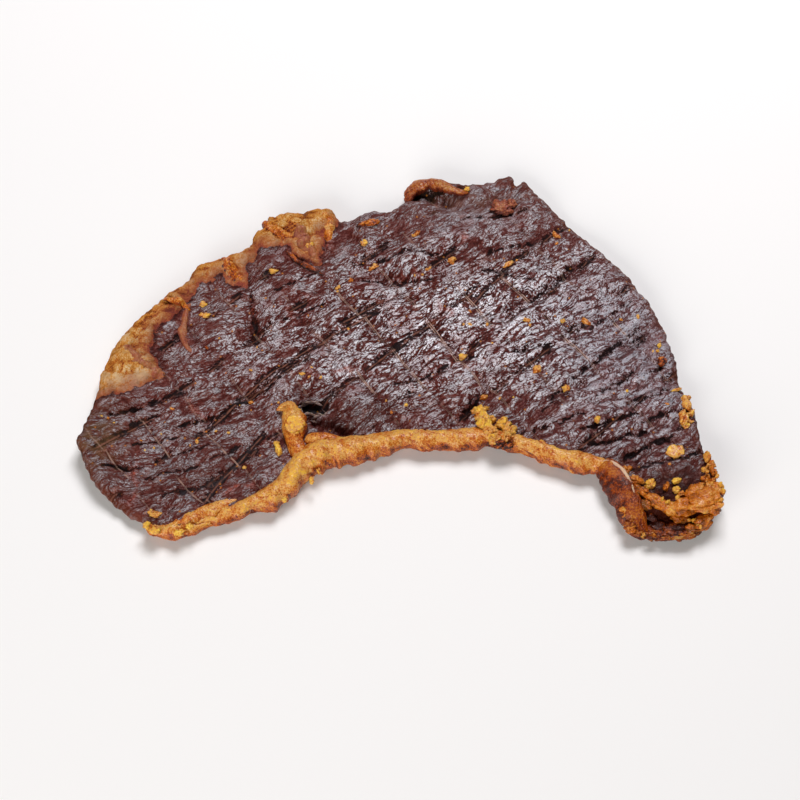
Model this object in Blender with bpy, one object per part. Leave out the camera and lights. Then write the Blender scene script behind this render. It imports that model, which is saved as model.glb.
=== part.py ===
# Beef jerky strip: one dried slice of beef with its rims of fat, folds and crumbs, as one solid.
# The model is in metres, +Z up. Its origin is below the middle of the slice, on the surface
# it lies on; +X runs along the slice, and the bay in its front edge faces -Y.

import bpy
import bmesh
import numpy as np

MM = 0.001                     # the values below are in millimetres

# Driving dimensions
LEAN_THICKNESS = 4.6           # in the middle of the slice
THIN_EDGE_LOSS = 1.5           # how much thinner the back and right borders are
EDGE_RADIUS = 2.3              # rounding of the cut edge
EDGE_MIDDLE = 0.45             # height of the edge's outermost line, as a share of the thickness
UNDER_RIM = 1.6                # how far the lean stops short of the front outline, under the rim
RIM_START = (-66.0, -58.0)     # where along the slice the rim begins and is full
RIM_CLEAR = 0.35               # space below the rims of fat
WRINKLE_HEIGHT = 0.75          # long ridges along the grain
SWELL_HEIGHT = 0.5             # broad rises and dips
RAGGED_EDGE = 0.45             # unevenness of the cut edge
LUMP_RISE = 0.25               # how far a lump's middle stands above the top, as a share of its half height
LUMP_UNEVEN = 0.22

# Mesh density
ALONG = 118                    # columns from the left tip to the right tip
ACROSS_TOP = 27                # rows over the top
ACROSS_UNDERSIDE = 9           # rows over the underside
ROW_SPREAD = 0.35              # 1 spaces the rows evenly, 0 crowds them at the edges
RIM_SIDES = 10
RIM_RING_SPACING = 2.15
SMOOTHING_STEPS = 12           # points between two points of an outline

# The outline, read from left tip to right tip: the back edge, then the front edge
LEFT_TIP = (-80.0, -28.3)
RIGHT_TIP = (80.0, -42.3)
BACK_LEFT_END = [(-78.0, -21.0), (-76.0, -13.5), (-75.6, -7.0), (-71.5, 3.0), (-62.0, 14.5), (-55.0, 21.0)]
BACK_FAT_STEPS = [(-53.0, 25.0), (-45.5, 28.0), (-40.0, 31.0), (-38.5, 34.5), (-35.5, 38.0), (-34.5, 40.5),
                  (-30.0, 42.2), (-19.5, 43.5)]
BACK_NOTCHES = [(-15.5, 40.0), (-12.0, 41.0), (-7.0, 43.5), (-3.0, 43.0), (1.5, 46.5), (2.5, 51.0),
                (6.0, 53.0), (10.0, 54.0), (13.5, 52.4), (24.0, 52.4), (30.5, 55.0)]
BACK_RIGHT_SIDE = [(31.8, 52.2), (34.8, 53.2), (38.6, 48.0), (50.8, 33.7), (61.6, 20.4), (68.2, 8.2),
                   (70.8, -3.0), (71.6, -10.0), (75.0, -20.0), (75.7, -30.0), (78.2, -35.0), (78.0, -39.0)]
FRONT_LEFT_LOBE = [(-78.4, -31.5), (-76.6, -36.4), (-72.0, -42.2), (-65.6, -47.6), (-59.6, -52.4),
                   (-52.5, -53.8), (-48.0, -51.0), (-38.5, -48.2), (-31.5, -46.6), (-26.4, -43.8)]
FRONT_BAY = [(-24.6, -39.5), (-21.5, -35.6), (-12.0, -32.6), (0.5, -29.0), (8.0, -28.8), (22.5, -28.2),
             (35.5, -32.0), (44.0, -34.4), (50.6, -36.2)]
FRONT_CORNER = [(51.2, -40.0), (53.2, -46.0), (55.0, -50.4), (60.5, -54.0), (67.0, -54.5), (72.5, -53.8),
                (75.4, -50.8), (77.0, -46.6)]

# Rims and folds of fat: x, y, half width, height of the middle above the underside
FRONT_RIM = [(-61.5, -50.4, 1.2, 2.4), (-57.6, -51.6, 1.9, 2.4), (-52.4, -51.9, 2.2, 2.5),
             (-45.0, -48.8, 2.1, 2.8), (-38.0, -46.0, 2.4, 3.0), (-32.5, -43.4, 2.9, 3.1),
             (-28.2, -40.8, 3.5, 3.1), (-25.6, -36.8, 3.4, 3.1), (-22.8, -32.8, 3.5, 3.1),
             (-18.0, -30.4, 3.7, 3.1), (-12.0, -29.2, 3.3, 3.1), (-5.0, -27.4, 2.8, 3.0),
             (3.0, -26.4, 2.5, 3.0), (12.0, -26.3, 2.5, 3.0), (20.0, -25.8, 2.4, 3.0),
             (27.0, -26.7, 2.4, 3.0), (34.0, -29.2, 2.5, 3.0), (42.0, -31.8, 2.4, 3.1),
             (48.0, -33.4, 2.2, 3.3), (52.6, -35.0, 1.9, 3.8)]
CORNER_LIP = [(49.8, -34.0, 1.4, 3.6), (52.7, -36.0, 2.2, 4.0), (53.8, -40.2, 2.6, 4.2),
              (55.8, -45.4, 2.7, 3.7), (57.6, -50.0, 2.6, 3.0), (61.6, -52.7, 2.1, 2.4),
              (67.0, -53.1, 1.8, 2.1), (71.6, -52.4, 1.8, 2.1), (74.1, -49.6, 1.9, 2.5),
              (76.0, -45.8, 1.9, 3.3), (77.0, -43.0, 1.6, 3.8)]
CORNER_SHELF = [(56.4, -40.5, 1.2, 5.4), (58.2, -43.4, 1.7, 5.6), (61.0, -46.2, 2.0, 5.7),
                (65.0, -47.6, 2.0, 5.7), (69.5, -46.9, 1.9, 5.6), (73.5, -45.5, 1.9, 5.5),
                (77.0, -43.6, 1.8, 5.2), (78.2, -42.0, 1.2, 4.8)]
FAT_NUB = [(-23.6, -32.0, 2.2, 3.2), (-25.2, -28.6, 2.9, 3.9), (-26.2, -25.0, 3.0, 4.8),
           (-26.9, -21.6, 2.9, 5.2), (-27.6, -18.4, 2.1, 4.8), (-28.2, -16.4, 1.0, 4.4)]
BACK_FOLD = [(2.4, 46.6, 1.1, 3.4), (4.2, 48.8, 2.0, 3.5), (7.4, 50.2, 2.2, 3.5), (11.2, 50.4, 2.0, 3.4),
             (15.4, 49.4, 1.6, 3.1), (19.6, 48.6, 1.0, 2.8)]
RIM_TALLER = 0.95              # half height of a rim for each millimetre of half width
RIM_LUMPS = 0.34               # unevenness of the rims, as a share of their width
RIM_LUMP_LENGTH = 5.0

# Lumps fused to the slice: x, y, half length, half width, half height, turn in degrees
FAT_CLUMP = [(21.2, -20.6, 2.3, 1.9, 1.7, 60.0), (22.6, -24.2, 2.4, 2.0, 1.7, 100.0),
             (26.2, -23.4, 2.6, 2.2, 1.8, 20.0), (26.6, -27.2, 2.6, 2.0, 1.6, 140.0)]
BACK_LUMP = [(28.2, 44.4, 3.2, 2.2, 1.3, 15.0)]
LARGE_FLAKES = [(68.8, -30.4, 2.5, 2.1, 0.9, 20.0), (72.6, -17.0, 2.2, 1.2, 0.9, 110.0),
                (71.8, -21.4, 2.0, 1.1, 0.8, 80.0), (76.6, -35.8, 2.2, 1.2, 1.2, 100.0)]
CRUMBS = [(42.7, -12.0, 1.1, 1.0, 0.9, 0.0), (35.3, -7.0, 1.5, 1.0, 0.8, 60.0),
          (50.0, -21.6, 1.1, 0.8, 0.8, 70.0), (48.7, 8.1, 1.5, 0.8, 0.6, 140.0),
          (16.6, -2.5, 1.3, 1.0, 0.7, 10.0), (21.7, -14.3, 1.1, 0.8, 0.7, 20.0),
          (-58.9, -48.3, 1.4, 0.9, 0.8, 0.0), (-29.7, -30.1, 1.0, 1.6, 0.9, 10.0),
          (-50.1, 9.6, 1.3, 0.8, 0.6, 0.0), (-50.8, 13.0, 0.9, 0.8, 0.6, 0.0),
          (-32.8, 23.3, 1.2, 0.7, 0.5, 0.0), (-9.0, 32.2, 0.9, 0.9, 0.7, 0.0),
          (-23.3, 31.3, 1.1, 0.8, 0.8, 20.0), (14.2, 27.1, 1.2, 0.8, 0.6, 30.0),
          (60.8, -39.8, 1.5, 1.1, 1.0, 10.0), (68.4, -39.3, 1.4, 0.8, 0.8, 20.0),
          (68.4, -42.0, 1.1, 0.9, 0.8, 0.0)]

# Furrows pressed into the top: x and y of both ends, depth, half width
FURROWS = [(-37.8, 14.0, -36.6, 1.0, 1.1, 1.9), (-75.0, -19.5, -60.0, -15.5, 1.0, 2.2),
           (28.0, 10.0, 47.0, 24.0, 1.0, 2.0), (42.0, -14.0, 63.0, 4.0, 0.9, 1.9),
           (13.5, -22.0, 21.5, -14.0, 1.1, 1.9), (52.0, -28.0, 75.0, -20.0, 1.0, 2.2),
           (56.0, -34.0, 76.0, -27.0, 1.1, 2.2), (-8.0, 20.6, 8.0, 20.6, 0.8, 1.8),
           (4.0, 47.4, 13.0, 45.6, 1.4, 2.0), (13.0, 45.6, 33.0, 41.6, 0.8, 1.9),
           (-66.0, -24.0, -40.0, -12.0, 0.7, 2.0), (-18.0, -24.0, -12.5, -25.2, 1.5, 1.8)]
# Dips: x, y, half length, half width, depth, turn in degrees
HOLLOWS = [(-19.6, -19.8, 6.2, 4.2, 2.6, -20.0), (-70.0, -35.0, 9.0, 6.0, 0.8, 20.0),
           (-46.0, 20.0, 7.0, 4.0, 0.7, 30.0), (18.0, 45.5, 10.0, 4.0, 0.7, -10.0)]
# Rises: x, y, half length, half width, height, turn in degrees
SWELLS = [(-70.0, -5.0, 7.0, 5.0, 0.9, 60.0), (-48.0, 24.0, 7.0, 3.0, 0.6, 30.0),
          (-27.0, 37.0, 9.0, 5.0, 1.1, 20.0), (-14.0, -14.0, 11.0, 5.0, 0.8, -30.0),
          (0.0, -6.0, 9.0, 5.0, 0.6, 10.0), (60.0, -14.0, 12.0, 6.0, 0.6, 30.0),
          (-50.0, -36.0, 16.0, 8.0, 0.6, 15.0), (15.0, 33.0, 14.0, 6.0, 0.6, 25.0),
          (-62.0, 6.0, 4.5, 3.5, 0.7, 50.0), (-38.0, 29.0, 4.5, 3.0, 0.7, 10.0),
          (-70.0, -12.0, 6.0, 3.5, 0.7, 20.0)]
# Where the slice curls up off the surface: x, y, reach, height at the middle
CURLS = [(-86.0, -30.0, 24.0, 3.4), (23.0, 63.0, 32.0, 3.8), (80.0, -44.0, 26.0, 2.2),
         (-48.0, 40.0, 22.0, 2.4), (68.0, 28.0, 26.0, 3.0), (-10.0, 54.0, 20.0, 2.0)]
# The open curl in the right corner: middle, half sizes, turn, and the height of its floor
POCKET = (66.5, -50.2, 8.6, 3.4, 4.0)
POCKET_FLOOR = 1.3

GRAIN_ANGLE = 30.0             # direction of the meat's fibres, in degrees
GRAIN_LENGTH = 26.0
GRAIN_WIDTH = 7.0
SWELL_SIZE = 17.0
RAGGED_SIZE = 3.0              # length of one in-and-out of the cut edge
SEED = 7


def smooth_curve(points, steps=SMOOTHING_STEPS):
    # A Catmull-Rom curve: each stretch is a cubic whose ends are level with the neighbouring points.
    p = np.asarray(points, float)
    p = np.vstack([2 * p[0] - p[1], p, 2 * p[-1] - p[-2]])
    t = np.linspace(0, 1, steps, endpoint=False)[:, None, None]
    a, b, c, d = p[:-3], p[1:-2], p[2:-1], p[3:]
    cubic = 0.5 * (2 * b + (c - a) * t + (2 * a - 5 * b + 4 * c - d) * t ** 2
                   + (3 * b - a - 3 * c + d) * t ** 3)
    return np.vstack([cubic.transpose(1, 0, 2).reshape(-1, p.shape[1]), p[-2]])


def spread(curve, shares):
    # Points of a curve at the given shares of its length.
    walked = np.concatenate([[0], np.cumsum(np.linalg.norm(np.diff(curve[:, :2], axis=0), axis=1))])
    return np.stack([np.interp(shares * walked[-1], walked, column) for column in curve.T], axis=1)


def cell_value(ix, iy, seed):
    # A repeatable number from -1 to 1 for each whole-number cell.
    h = (ix * 374761393 + iy * 668265263 + seed * 1442695041) & 0xFFFFFFFF
    h = ((h ^ (h >> 13)) * 1274126177) & 0xFFFFFFFF
    return ((h ^ (h >> 16)) & 0xFFFF) / 32767.5 - 1.0


def noise(x, y, seed=SEED):
    # Cell values joined smoothly: about -1 to 1, one rise or dip for each unit of x and y.
    ix, iy = np.floor(x).astype(np.int64), np.floor(y).astype(np.int64)
    fx, fy = x - ix, y - iy
    fx, fy = fx * fx * (3 - 2 * fx), fy * fy * (3 - 2 * fy)
    low = cell_value(ix, iy, seed) * (1 - fx) + cell_value(ix + 1, iy, seed) * fx
    high = cell_value(ix, iy + 1, seed) * (1 - fx) + cell_value(ix + 1, iy + 1, seed) * fx
    return low * (1 - fy) + high * fy


def turned(x, y, degrees):
    # Coordinates along and across a direction.
    c, s = np.cos(np.radians(degrees)), np.sin(np.radians(degrees))
    return x * c + y * s, y * c - x * s


def mound(x, y, at, half_length, half_width, degrees):
    # A smooth bump of height 1 that falls away to nothing round an ellipse.
    along, across = turned(x - at[0], y - at[1], degrees)
    return np.exp(-(along / half_length) ** 2 - (across / half_width) ** 2)


def front_and_back():
    # The two edges of the slice, from the left tip to the right tip.
    back = smooth_curve([LEFT_TIP] + BACK_LEFT_END + BACK_FAT_STEPS + BACK_NOTCHES + BACK_RIGHT_SIDE
                        + [RIGHT_TIP])
    front = smooth_curve([LEFT_TIP] + FRONT_LEFT_LOBE + FRONT_BAY + FRONT_CORNER + [RIGHT_TIP])
    return front, back


def roughened(edge):
    # The edge pushed in and out by a few tenths of a millimetre, and not at its two ends.
    ends = np.minimum(1, 6 * np.minimum(np.linspace(0, 1, len(edge)), np.linspace(1, 0, len(edge))))
    x, y = edge.T / RAGGED_SIZE
    push = np.column_stack([noise(x, y, SEED + 1), noise(x, y, SEED + 2)])
    return edge + RAGGED_EDGE * push * ends[:, None]


def inset_front(edge):
    # The lean's own front edge: the outline moved inwards, so that the rim lies over its end.
    along = np.gradient(edge, axis=0)
    inwards = np.stack([-along[:, 1], along[:, 0]], axis=1)
    inwards /= np.linalg.norm(inwards, axis=1)[:, None]
    start = np.clip((edge[:, 0] - RIM_START[0]) / (RIM_START[1] - RIM_START[0]), 0, 1)
    end = np.clip(8 * np.linspace(1, 0, len(edge)), 0, 1)
    return edge + UNDER_RIM * (start * end)[:, None] * inwards


def lift(x, y):
    # Height of the underside: flat on the surface, and curling up towards some of the edges.
    curls = sum(h * np.maximum(0, 1 - np.hypot(x - cx, y - cy) / reach) ** 1.3 for cx, cy, reach, h in CURLS)
    return np.maximum(0, curls)


def thickness(x, y):
    # The slice is thinner towards its back and right borders.
    to_back = np.clip((y + 0.55 * x - 20) / 45, 0, 1)
    return LEAN_THICKNESS - THIN_EDGE_LOSS * to_back ** 1.5


def relief(x, y):
    # Ridges along the grain, broad swells and hollows, furrows, and the open pocket in the corner.
    along, across = turned(x, y, GRAIN_ANGLE)
    height = WRINKLE_HEIGHT * noise(along / GRAIN_LENGTH, across / GRAIN_WIDTH)
    height += SWELL_HEIGHT * noise(x / SWELL_SIZE, y / SWELL_SIZE, SEED + 5)
    for cx, cy, length, width, rise, degrees in SWELLS:
        height += rise * mound(x, y, (cx, cy), length, width, degrees)
    for cx, cy, length, width, depth, degrees in HOLLOWS:
        height -= depth * mound(x, y, (cx, cy), length, width, degrees)
    for x1, y1, x2, y2, depth, width in FURROWS:
        run, rise = x2 - x1, y2 - y1
        share = np.clip(((x - x1) * run + (y - y1) * rise) / (run ** 2 + rise ** 2), 0, 1)
        gap = np.hypot(x - x1 - share * run, y - y1 - share * rise)
        height -= depth * np.exp(-(gap / width) ** 2)
    return height


def pocket_share(x, y):
    # 1 inside the open pocket and 0 outside it.
    cx, cy, length, width, degrees = POCKET
    along, across = turned(x - cx, y - cy, degrees)
    return np.clip(2.4 * (1.25 - np.hypot(along / length, across / width)), 0, 1)


def top_height(x, y):
    # Height of the top, away from the rounded edge.
    full = lift(x, y) + thickness(x, y) + relief(x, y)
    share = pocket_share(x, y)
    return full * (1 - share) + (lift(x, y) + POCKET_FLOOR) * share


def new_object(name, vertices, faces):
    # A mesh object from points in millimetres, with all its faces pointing out.
    mesh = bpy.data.meshes.new(name)
    mesh.from_pydata([tuple(v) for v in np.asarray(vertices) * MM], [], faces)
    bm = bmesh.new()
    bm.from_mesh(mesh)
    bmesh.ops.remove_doubles(bm, verts=bm.verts, dist=0.00001)
    bmesh.ops.triangulate(bm, faces=bm.faces)
    bmesh.ops.recalc_face_normals(bm, faces=bm.faces)
    bm.to_mesh(mesh)
    bm.free()
    piece = bpy.data.objects.new(name, mesh)
    bpy.context.scene.collection.objects.link(piece)
    return piece


def closed_rings(rings):
    # Vertices and faces of a tube through equal rings of points, with a point closing each end.
    rings = np.asarray(rings)
    count, sides = rings.shape[:2]
    vertices = np.vstack([rings.reshape(-1, 3), rings[0].mean(axis=0), rings[-1].mean(axis=0)])
    faces = []
    for i in range(count - 1):
        for j in range(sides):
            k = (j + 1) % sides
            faces.append((i * sides + j, i * sides + k, (i + 1) * sides + k, (i + 1) * sides + j))
    first, last = count * sides, count * sides + 1
    for j in range(sides):
        k = (j + 1) % sides
        faces.append((k, j, first))
        faces.append(((count - 1) * sides + j, (count - 1) * sides + k, last))
    return vertices, faces


def row_shares(count):
    # Shares of the way across the slice, closer together near its two edges.
    even = np.linspace(0, 1, count)
    return ROW_SPREAD * even + (1 - ROW_SPREAD) * (0.5 - 0.5 * np.cos(np.pi * even))


def edge_rounding(xy, border):
    # 0 on the outline and 1 further in than the edge radius, along a quarter circle.
    gap = np.linalg.norm(xy[..., None, :] - border, axis=-1).min(axis=-1)
    return np.sqrt(1 - (1 - np.clip(gap / EDGE_RADIUS, 0, 1)) ** 2)


def edge_height(x, y):
    # Height of the outermost line of the cut edge.
    return lift(x, y) + EDGE_MIDDLE * (top_height(x, y) - lift(x, y))


def make_slab():
    # Straight lines join the front edge to the back edge; over each runs a closed ring of
    # points, across the top and back along the underside, rounded off near the outline.
    front, back = front_and_back()
    shares = np.linspace(0, 1, ALONG + 1)[1:-1]
    f = spread(inset_front(roughened(front)), shares)
    b = spread(roughened(back), shares)
    border = np.vstack([f, b])

    def across(rows):
        return f[:, None] * (1 - rows[:, None]) + b[:, None] * rows[:, None]

    top = across(row_shares(ACROSS_TOP))
    under = across(row_shares(ACROSS_UNDERSIDE)[-2:0:-1])
    middle = edge_height(top[..., 0], top[..., 1])
    z_top = middle + (top_height(top[..., 0], top[..., 1]) - middle) * edge_rounding(top, border)
    floor = lift(under[..., 0], under[..., 1])
    middle = edge_height(under[..., 0], under[..., 1])
    z_under = middle + (floor - middle) * edge_rounding(under, border)
    rings = np.concatenate([np.dstack([top, z_top]), np.dstack([under, z_under])], axis=1)
    vertices, faces = closed_rings(rings)
    tips = np.array([LEFT_TIP, RIGHT_TIP])
    vertices[-2:] = np.column_stack([tips, edge_height(tips[:, 0], tips[:, 1])])
    return new_object("jerky_slab", vertices, faces)


def make_rim(name, route, seed):
    # An uneven tube along a route: an ellipse round each of its points, upright to the route.
    curve = smooth_curve(route)
    length = np.linalg.norm(np.diff(curve[:, :2], axis=0), axis=1).sum()
    stops = spread(curve, np.linspace(0, 1, int(length / RIM_RING_SPACING)))
    centre, half_width, middle = stops[:, :2], stops[:, 2], stops[:, 3]
    along = np.gradient(centre, axis=0)
    sideways = np.stack([-along[:, 1], along[:, 0]], axis=1) / np.linalg.norm(along, axis=1)[:, None]
    angle, walked = np.meshgrid(np.linspace(0, 2 * np.pi, RIM_SIDES, endpoint=False),
                                np.linspace(0, length, len(stops)))
    lump = 1 + RIM_LUMPS * noise(walked / RIM_LUMP_LENGTH, 1.3 * np.cos(angle), seed)
    out = half_width[:, None] * np.cos(angle) * lump
    up = RIM_TALLER * half_width[:, None] * np.sin(angle) * lump
    xy = centre[:, None, :] + out[..., None] * sideways[:, None, :]
    base = lift(centre[:, 0], centre[:, 1])[:, None]
    z = np.maximum(middle[:, None] + up, RIM_CLEAR) + base
    return new_object(name, *closed_rings(np.dstack([xy, z])))


def make_lump(name, lump, index, rings=4, sides=6):
    # A low ball, squeezed and turned, and sunk into what it lies on.
    x, y, half_length, half_width, half_height, degrees = lump
    height = top_height(np.array([x]), np.array([y]))[0] + half_height * LUMP_RISE
    side, ring = np.meshgrid(np.arange(sides), np.arange(1, rings))
    tilt, angle = np.pi * ring / rings, 2 * np.pi * side / sides
    bulge = 1 + LUMP_UNEVEN * cell_value(side, ring + 17 * index, SEED)
    along = half_length * np.sin(tilt) * np.cos(angle) * bulge
    across = half_width * np.sin(tilt) * np.sin(angle) * bulge
    c, s = np.cos(np.radians(degrees)), np.sin(np.radians(degrees))
    ball = np.dstack([x + along * c - across * s, y + along * s + across * c,
                      height + half_height * np.cos(tilt)])
    vertices, faces = closed_rings(ball)
    vertices[-2] = (x, y, height + half_height)
    vertices[-1] = (x, y, height - half_height)
    return new_object(name, vertices, faces)


def fuse(body, pieces):
    # One Boolean union of the body with all the pieces, applied, and the pieces then removed.
    group = bpy.data.collections.new("fused pieces")
    bpy.context.scene.collection.children.link(group)
    for piece in pieces:
        group.objects.link(piece)
        bpy.context.scene.collection.objects.unlink(piece)
    union = body.modifiers.new("union", 'BOOLEAN')
    union.operation = 'UNION'
    union.operand_type = 'COLLECTION'
    union.collection = group
    union.solver = 'EXACT'
    bpy.context.view_layer.update()
    joined = bpy.data.meshes.new_from_object(body.evaluated_get(bpy.context.evaluated_depsgraph_get()))
    body.modifiers.clear()
    body.data = joined
    for piece in pieces:
        bpy.data.objects.remove(piece)
    bpy.data.collections.remove(group)


def keep_largest_body(piece):
    # Loose scraps and sealed bubbles left by the union are dropped.
    bm = bmesh.new()
    bm.from_mesh(piece.data)
    bmesh.ops.remove_doubles(bm, verts=bm.verts, dist=0.00002)
    bmesh.ops.dissolve_degenerate(bm, edges=bm.edges, dist=0.00002)
    bmesh.ops.triangulate(bm, faces=bm.faces)
    waiting, bodies = set(bm.verts), []
    while waiting:
        stack, body = [waiting.pop()], []
        while stack:
            vertex = stack.pop()
            body.append(vertex)
            for edge in vertex.link_edges:
                other = edge.other_vert(vertex)
                if other in waiting:
                    waiting.remove(other)
                    stack.append(other)
        bodies.append(body)
    bodies.sort(key=len)
    for body in bodies[:-1]:
        bmesh.ops.delete(bm, geom=body, context='VERTS')
    bm.to_mesh(piece.data)
    bm.free()


def dried_beef():
    # Dark, nearly dry lean meat with a waxy gloss.
    material = bpy.data.materials.new("dried beef")
    material.use_nodes = True
    shader = material.node_tree.nodes["Principled BSDF"]
    shader.inputs["Base Color"].default_value = (0.055, 0.018, 0.014, 1)
    shader.inputs["Roughness"].default_value = 0.45
    shader.inputs["Metallic"].default_value = 0.0
    return material


def main():
    for piece in list(bpy.data.objects):
        bpy.data.objects.remove(piece)
    slab = make_slab()
    routes = [FRONT_RIM, CORNER_LIP, CORNER_SHELF, FAT_NUB, BACK_FOLD]
    pieces = [make_rim(f"rim {index}", route, SEED + 11 + index) for index, route in enumerate(routes)]
    lumps = FAT_CLUMP + BACK_LUMP + LARGE_FLAKES + CRUMBS
    pieces += [make_lump(f"lump {index}", lump, index) for index, lump in enumerate(lumps)]
    fuse(slab, pieces)
    keep_largest_body(slab)
    slab.data.materials.clear()
    slab.data.materials.append(dried_beef())
    slab.data.shade_smooth()


main()
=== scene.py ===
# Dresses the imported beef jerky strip: wrinkled lean meat, rims and folds of fat, crumbs and flakes,
# lying on a pale floor in soft studio light. Lengths are in millimetres until they go into a mesh.

import bpy
import numpy as np
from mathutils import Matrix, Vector


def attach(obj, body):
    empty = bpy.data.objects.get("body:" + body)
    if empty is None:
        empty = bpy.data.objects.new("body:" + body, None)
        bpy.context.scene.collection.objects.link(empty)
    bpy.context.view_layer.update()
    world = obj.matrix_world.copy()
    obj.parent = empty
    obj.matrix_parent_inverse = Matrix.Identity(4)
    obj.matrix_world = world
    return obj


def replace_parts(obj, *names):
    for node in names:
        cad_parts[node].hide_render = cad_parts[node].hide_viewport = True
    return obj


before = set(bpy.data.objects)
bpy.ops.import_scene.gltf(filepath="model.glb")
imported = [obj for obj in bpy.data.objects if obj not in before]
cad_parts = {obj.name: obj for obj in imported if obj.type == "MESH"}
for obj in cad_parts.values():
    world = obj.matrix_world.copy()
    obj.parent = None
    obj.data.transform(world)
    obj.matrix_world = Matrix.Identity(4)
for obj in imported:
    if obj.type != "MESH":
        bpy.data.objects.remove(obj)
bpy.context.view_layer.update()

mm = 0.001

# The slice's own form, with the same numbers as its solid
strip = {
    "leftTip": (-80.0, -28.3),
    "rightTip": (80.0, -42.3),
    "back": [
        (-78, -21), (-76, -13.5), (-75.6, -7), (-71.5, 3), (-62, 14.5), (-55, 21), (-53, 25), (-45.5, 28),
        (-40, 31), (-38.5, 34.5), (-35.5, 38), (-34.5, 40.5), (-30, 42.2), (-19.5, 43.5), (-15.5, 40),
        (-12, 41), (-7, 43.5), (-3, 43), (1.5, 46.5), (2.5, 51), (6, 53), (10, 54), (13.5, 52.4),
        (24, 52.4), (30.5, 55), (31.8, 52.2), (34.8, 53.2), (38.6, 48), (50.8, 33.7), (61.6, 20.4),
        (68.2, 8.2), (70.8, -3), (71.6, -10), (75, -20), (75.7, -30), (78.2, -35), (78, -39)],
    "front": [
        (-78.4, -31.5), (-76.6, -36.4), (-72, -42.2), (-65.6, -47.6), (-59.6, -52.4), (-52.5, -53.8),
        (-48, -51), (-38.5, -48.2), (-31.5, -46.6), (-26.4, -43.8), (-24.6, -39.5), (-21.5, -35.6),
        (-12, -32.6), (0.5, -29), (8, -28.8), (22.5, -28.2), (35.5, -32), (44, -34.4), (50.6, -36.2),
        (51.2, -40), (53.2, -46), (55, -50.4), (60.5, -54), (67, -54.5), (72.5, -53.8), (75.4, -50.8),
        (77, -46.6)],
    "thick": 4.6, "thinnerBehind": 1.5, "edgeRadius": 2.3, "edgeMiddle": 0.45,
    "underRim": 1.6, "rimStart": (-66.0, -58.0),
    "ragged": 0.45, "raggedSize": 3.0, "seed": 7,
    "grainAngle": 30.0, "ridge": (0.75, 26.0, 7.0), "swell": (0.5, 17.0),
    "furrows": [
        (-37.8, 14, -36.6, 1, 1.1, 1.9), (-75, -19.5, -60, -15.5, 1, 2.2), (28, 10, 47, 24, 1, 2),
        (42, -14, 63, 4, 0.9, 1.9), (13.5, -22, 21.5, -14, 1.1, 1.9), (52, -28, 75, -20, 1, 2.2),
        (56, -34, 76, -27, 1.1, 2.2), (-8, 20.6, 8, 20.6, 0.8, 1.8), (4, 47.4, 13, 45.6, 1.4, 2),
        (13, 45.6, 33, 41.6, 0.8, 1.9), (-66, -24, -40, -12, 0.7, 2), (-18, -24, -12.5, -25.2, 1.5, 1.8)],
    "hollows": [
        (-19.6, -19.8, 6.2, 4.2, 2.6, -20), (-70, -35, 9, 6, 0.8, 20), (-46, 20, 7, 4, 0.7, 30),
        (18, 45.5, 10, 4, 0.7, -10)],
    "swells": [
        (-70, -5, 7, 5, 0.9, 60), (-48, 24, 7, 3, 0.6, 30), (-27, 37, 9, 5, 1.1, 20),
        (-14, -14, 11, 5, 0.8, -30), (0, -6, 9, 5, 0.6, 10), (60, -14, 12, 6, 0.6, 30),
        (-50, -36, 16, 8, 0.6, 15), (15, 33, 14, 6, 0.6, 25), (-62, 6, 4.5, 3.5, 0.7, 50),
        (-38, 29, 4.5, 3, 0.7, 10), (-70, -12, 6, 3.5, 0.7, 20)],
    "curls": [
        (-86, -30, 24, 3.4), (23, 63, 32, 3.8), (80, -44, 26, 2.2), (-48, 40, 22, 2.4), (68, 28, 26, 3),
        (-10, 54, 20, 2)],
    "pocket": (66.5, -50.2, 8.6, 3.4, 4.0), "pocketFloor": 1.3,
    "pocketShare": (2.4, 1.25),
}


def smoothCurve(points, steps=12):
    # Catmull-Rom: each stretch is the cubic through its two points, level with their neighbours
    p = np.asarray(points, float)
    p = np.vstack([2 * p[0] - p[1], p, 2 * p[-1] - p[-2]])
    t = np.linspace(0, 1, steps, endpoint=False)[:, None, None]
    a, b, c, d = p[:-3], p[1:-2], p[2:-1], p[3:]
    cubic = 0.5 * (2 * b + (c - a) * t + (2 * a - 5 * b + 4 * c - d) * t ** 2
                   + (3 * b - a - 3 * c + d) * t ** 3)
    return np.vstack([cubic.transpose(1, 0, 2).reshape(-1, p.shape[1]), p[-2]])


def atShares(curve, shares):
    # Points of a curve at the given shares of its length, all its columns interpolated
    steps = np.linalg.norm(np.diff(curve[:, :2], axis=0), axis=1)
    walked = np.concatenate([[0], np.cumsum(steps)])
    return np.stack([np.interp(shares * walked[-1], walked, column) for column in curve.T], axis=1)


def cellValue(ix, iy, seed):
    # A whole-number hash of the cell, from -1 to 1
    h = (ix * 374761393 + iy * 668265263 + seed * 1442695041) & 0xFFFFFFFF
    h = ((h ^ (h >> 13)) * 1274126177) & 0xFFFFFFFF
    return ((h ^ (h >> 16)) & 0xFFFF) / 32767.5 - 1.0


def softNoise(x, y, seed):
    # Cell values blended by 3t^2 - 2t^3 between the four corners of each cell
    ix, iy = np.floor(x).astype(np.int64), np.floor(y).astype(np.int64)
    fx, fy = x - ix, y - iy
    fx, fy = fx * fx * (3 - 2 * fx), fy * fy * (3 - 2 * fy)
    low = cellValue(ix, iy, seed) * (1 - fx) + cellValue(ix + 1, iy, seed) * fx
    high = cellValue(ix, iy + 1, seed) * (1 - fx) + cellValue(ix + 1, iy + 1, seed) * fx
    return low * (1 - fy) + high * fy


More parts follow.
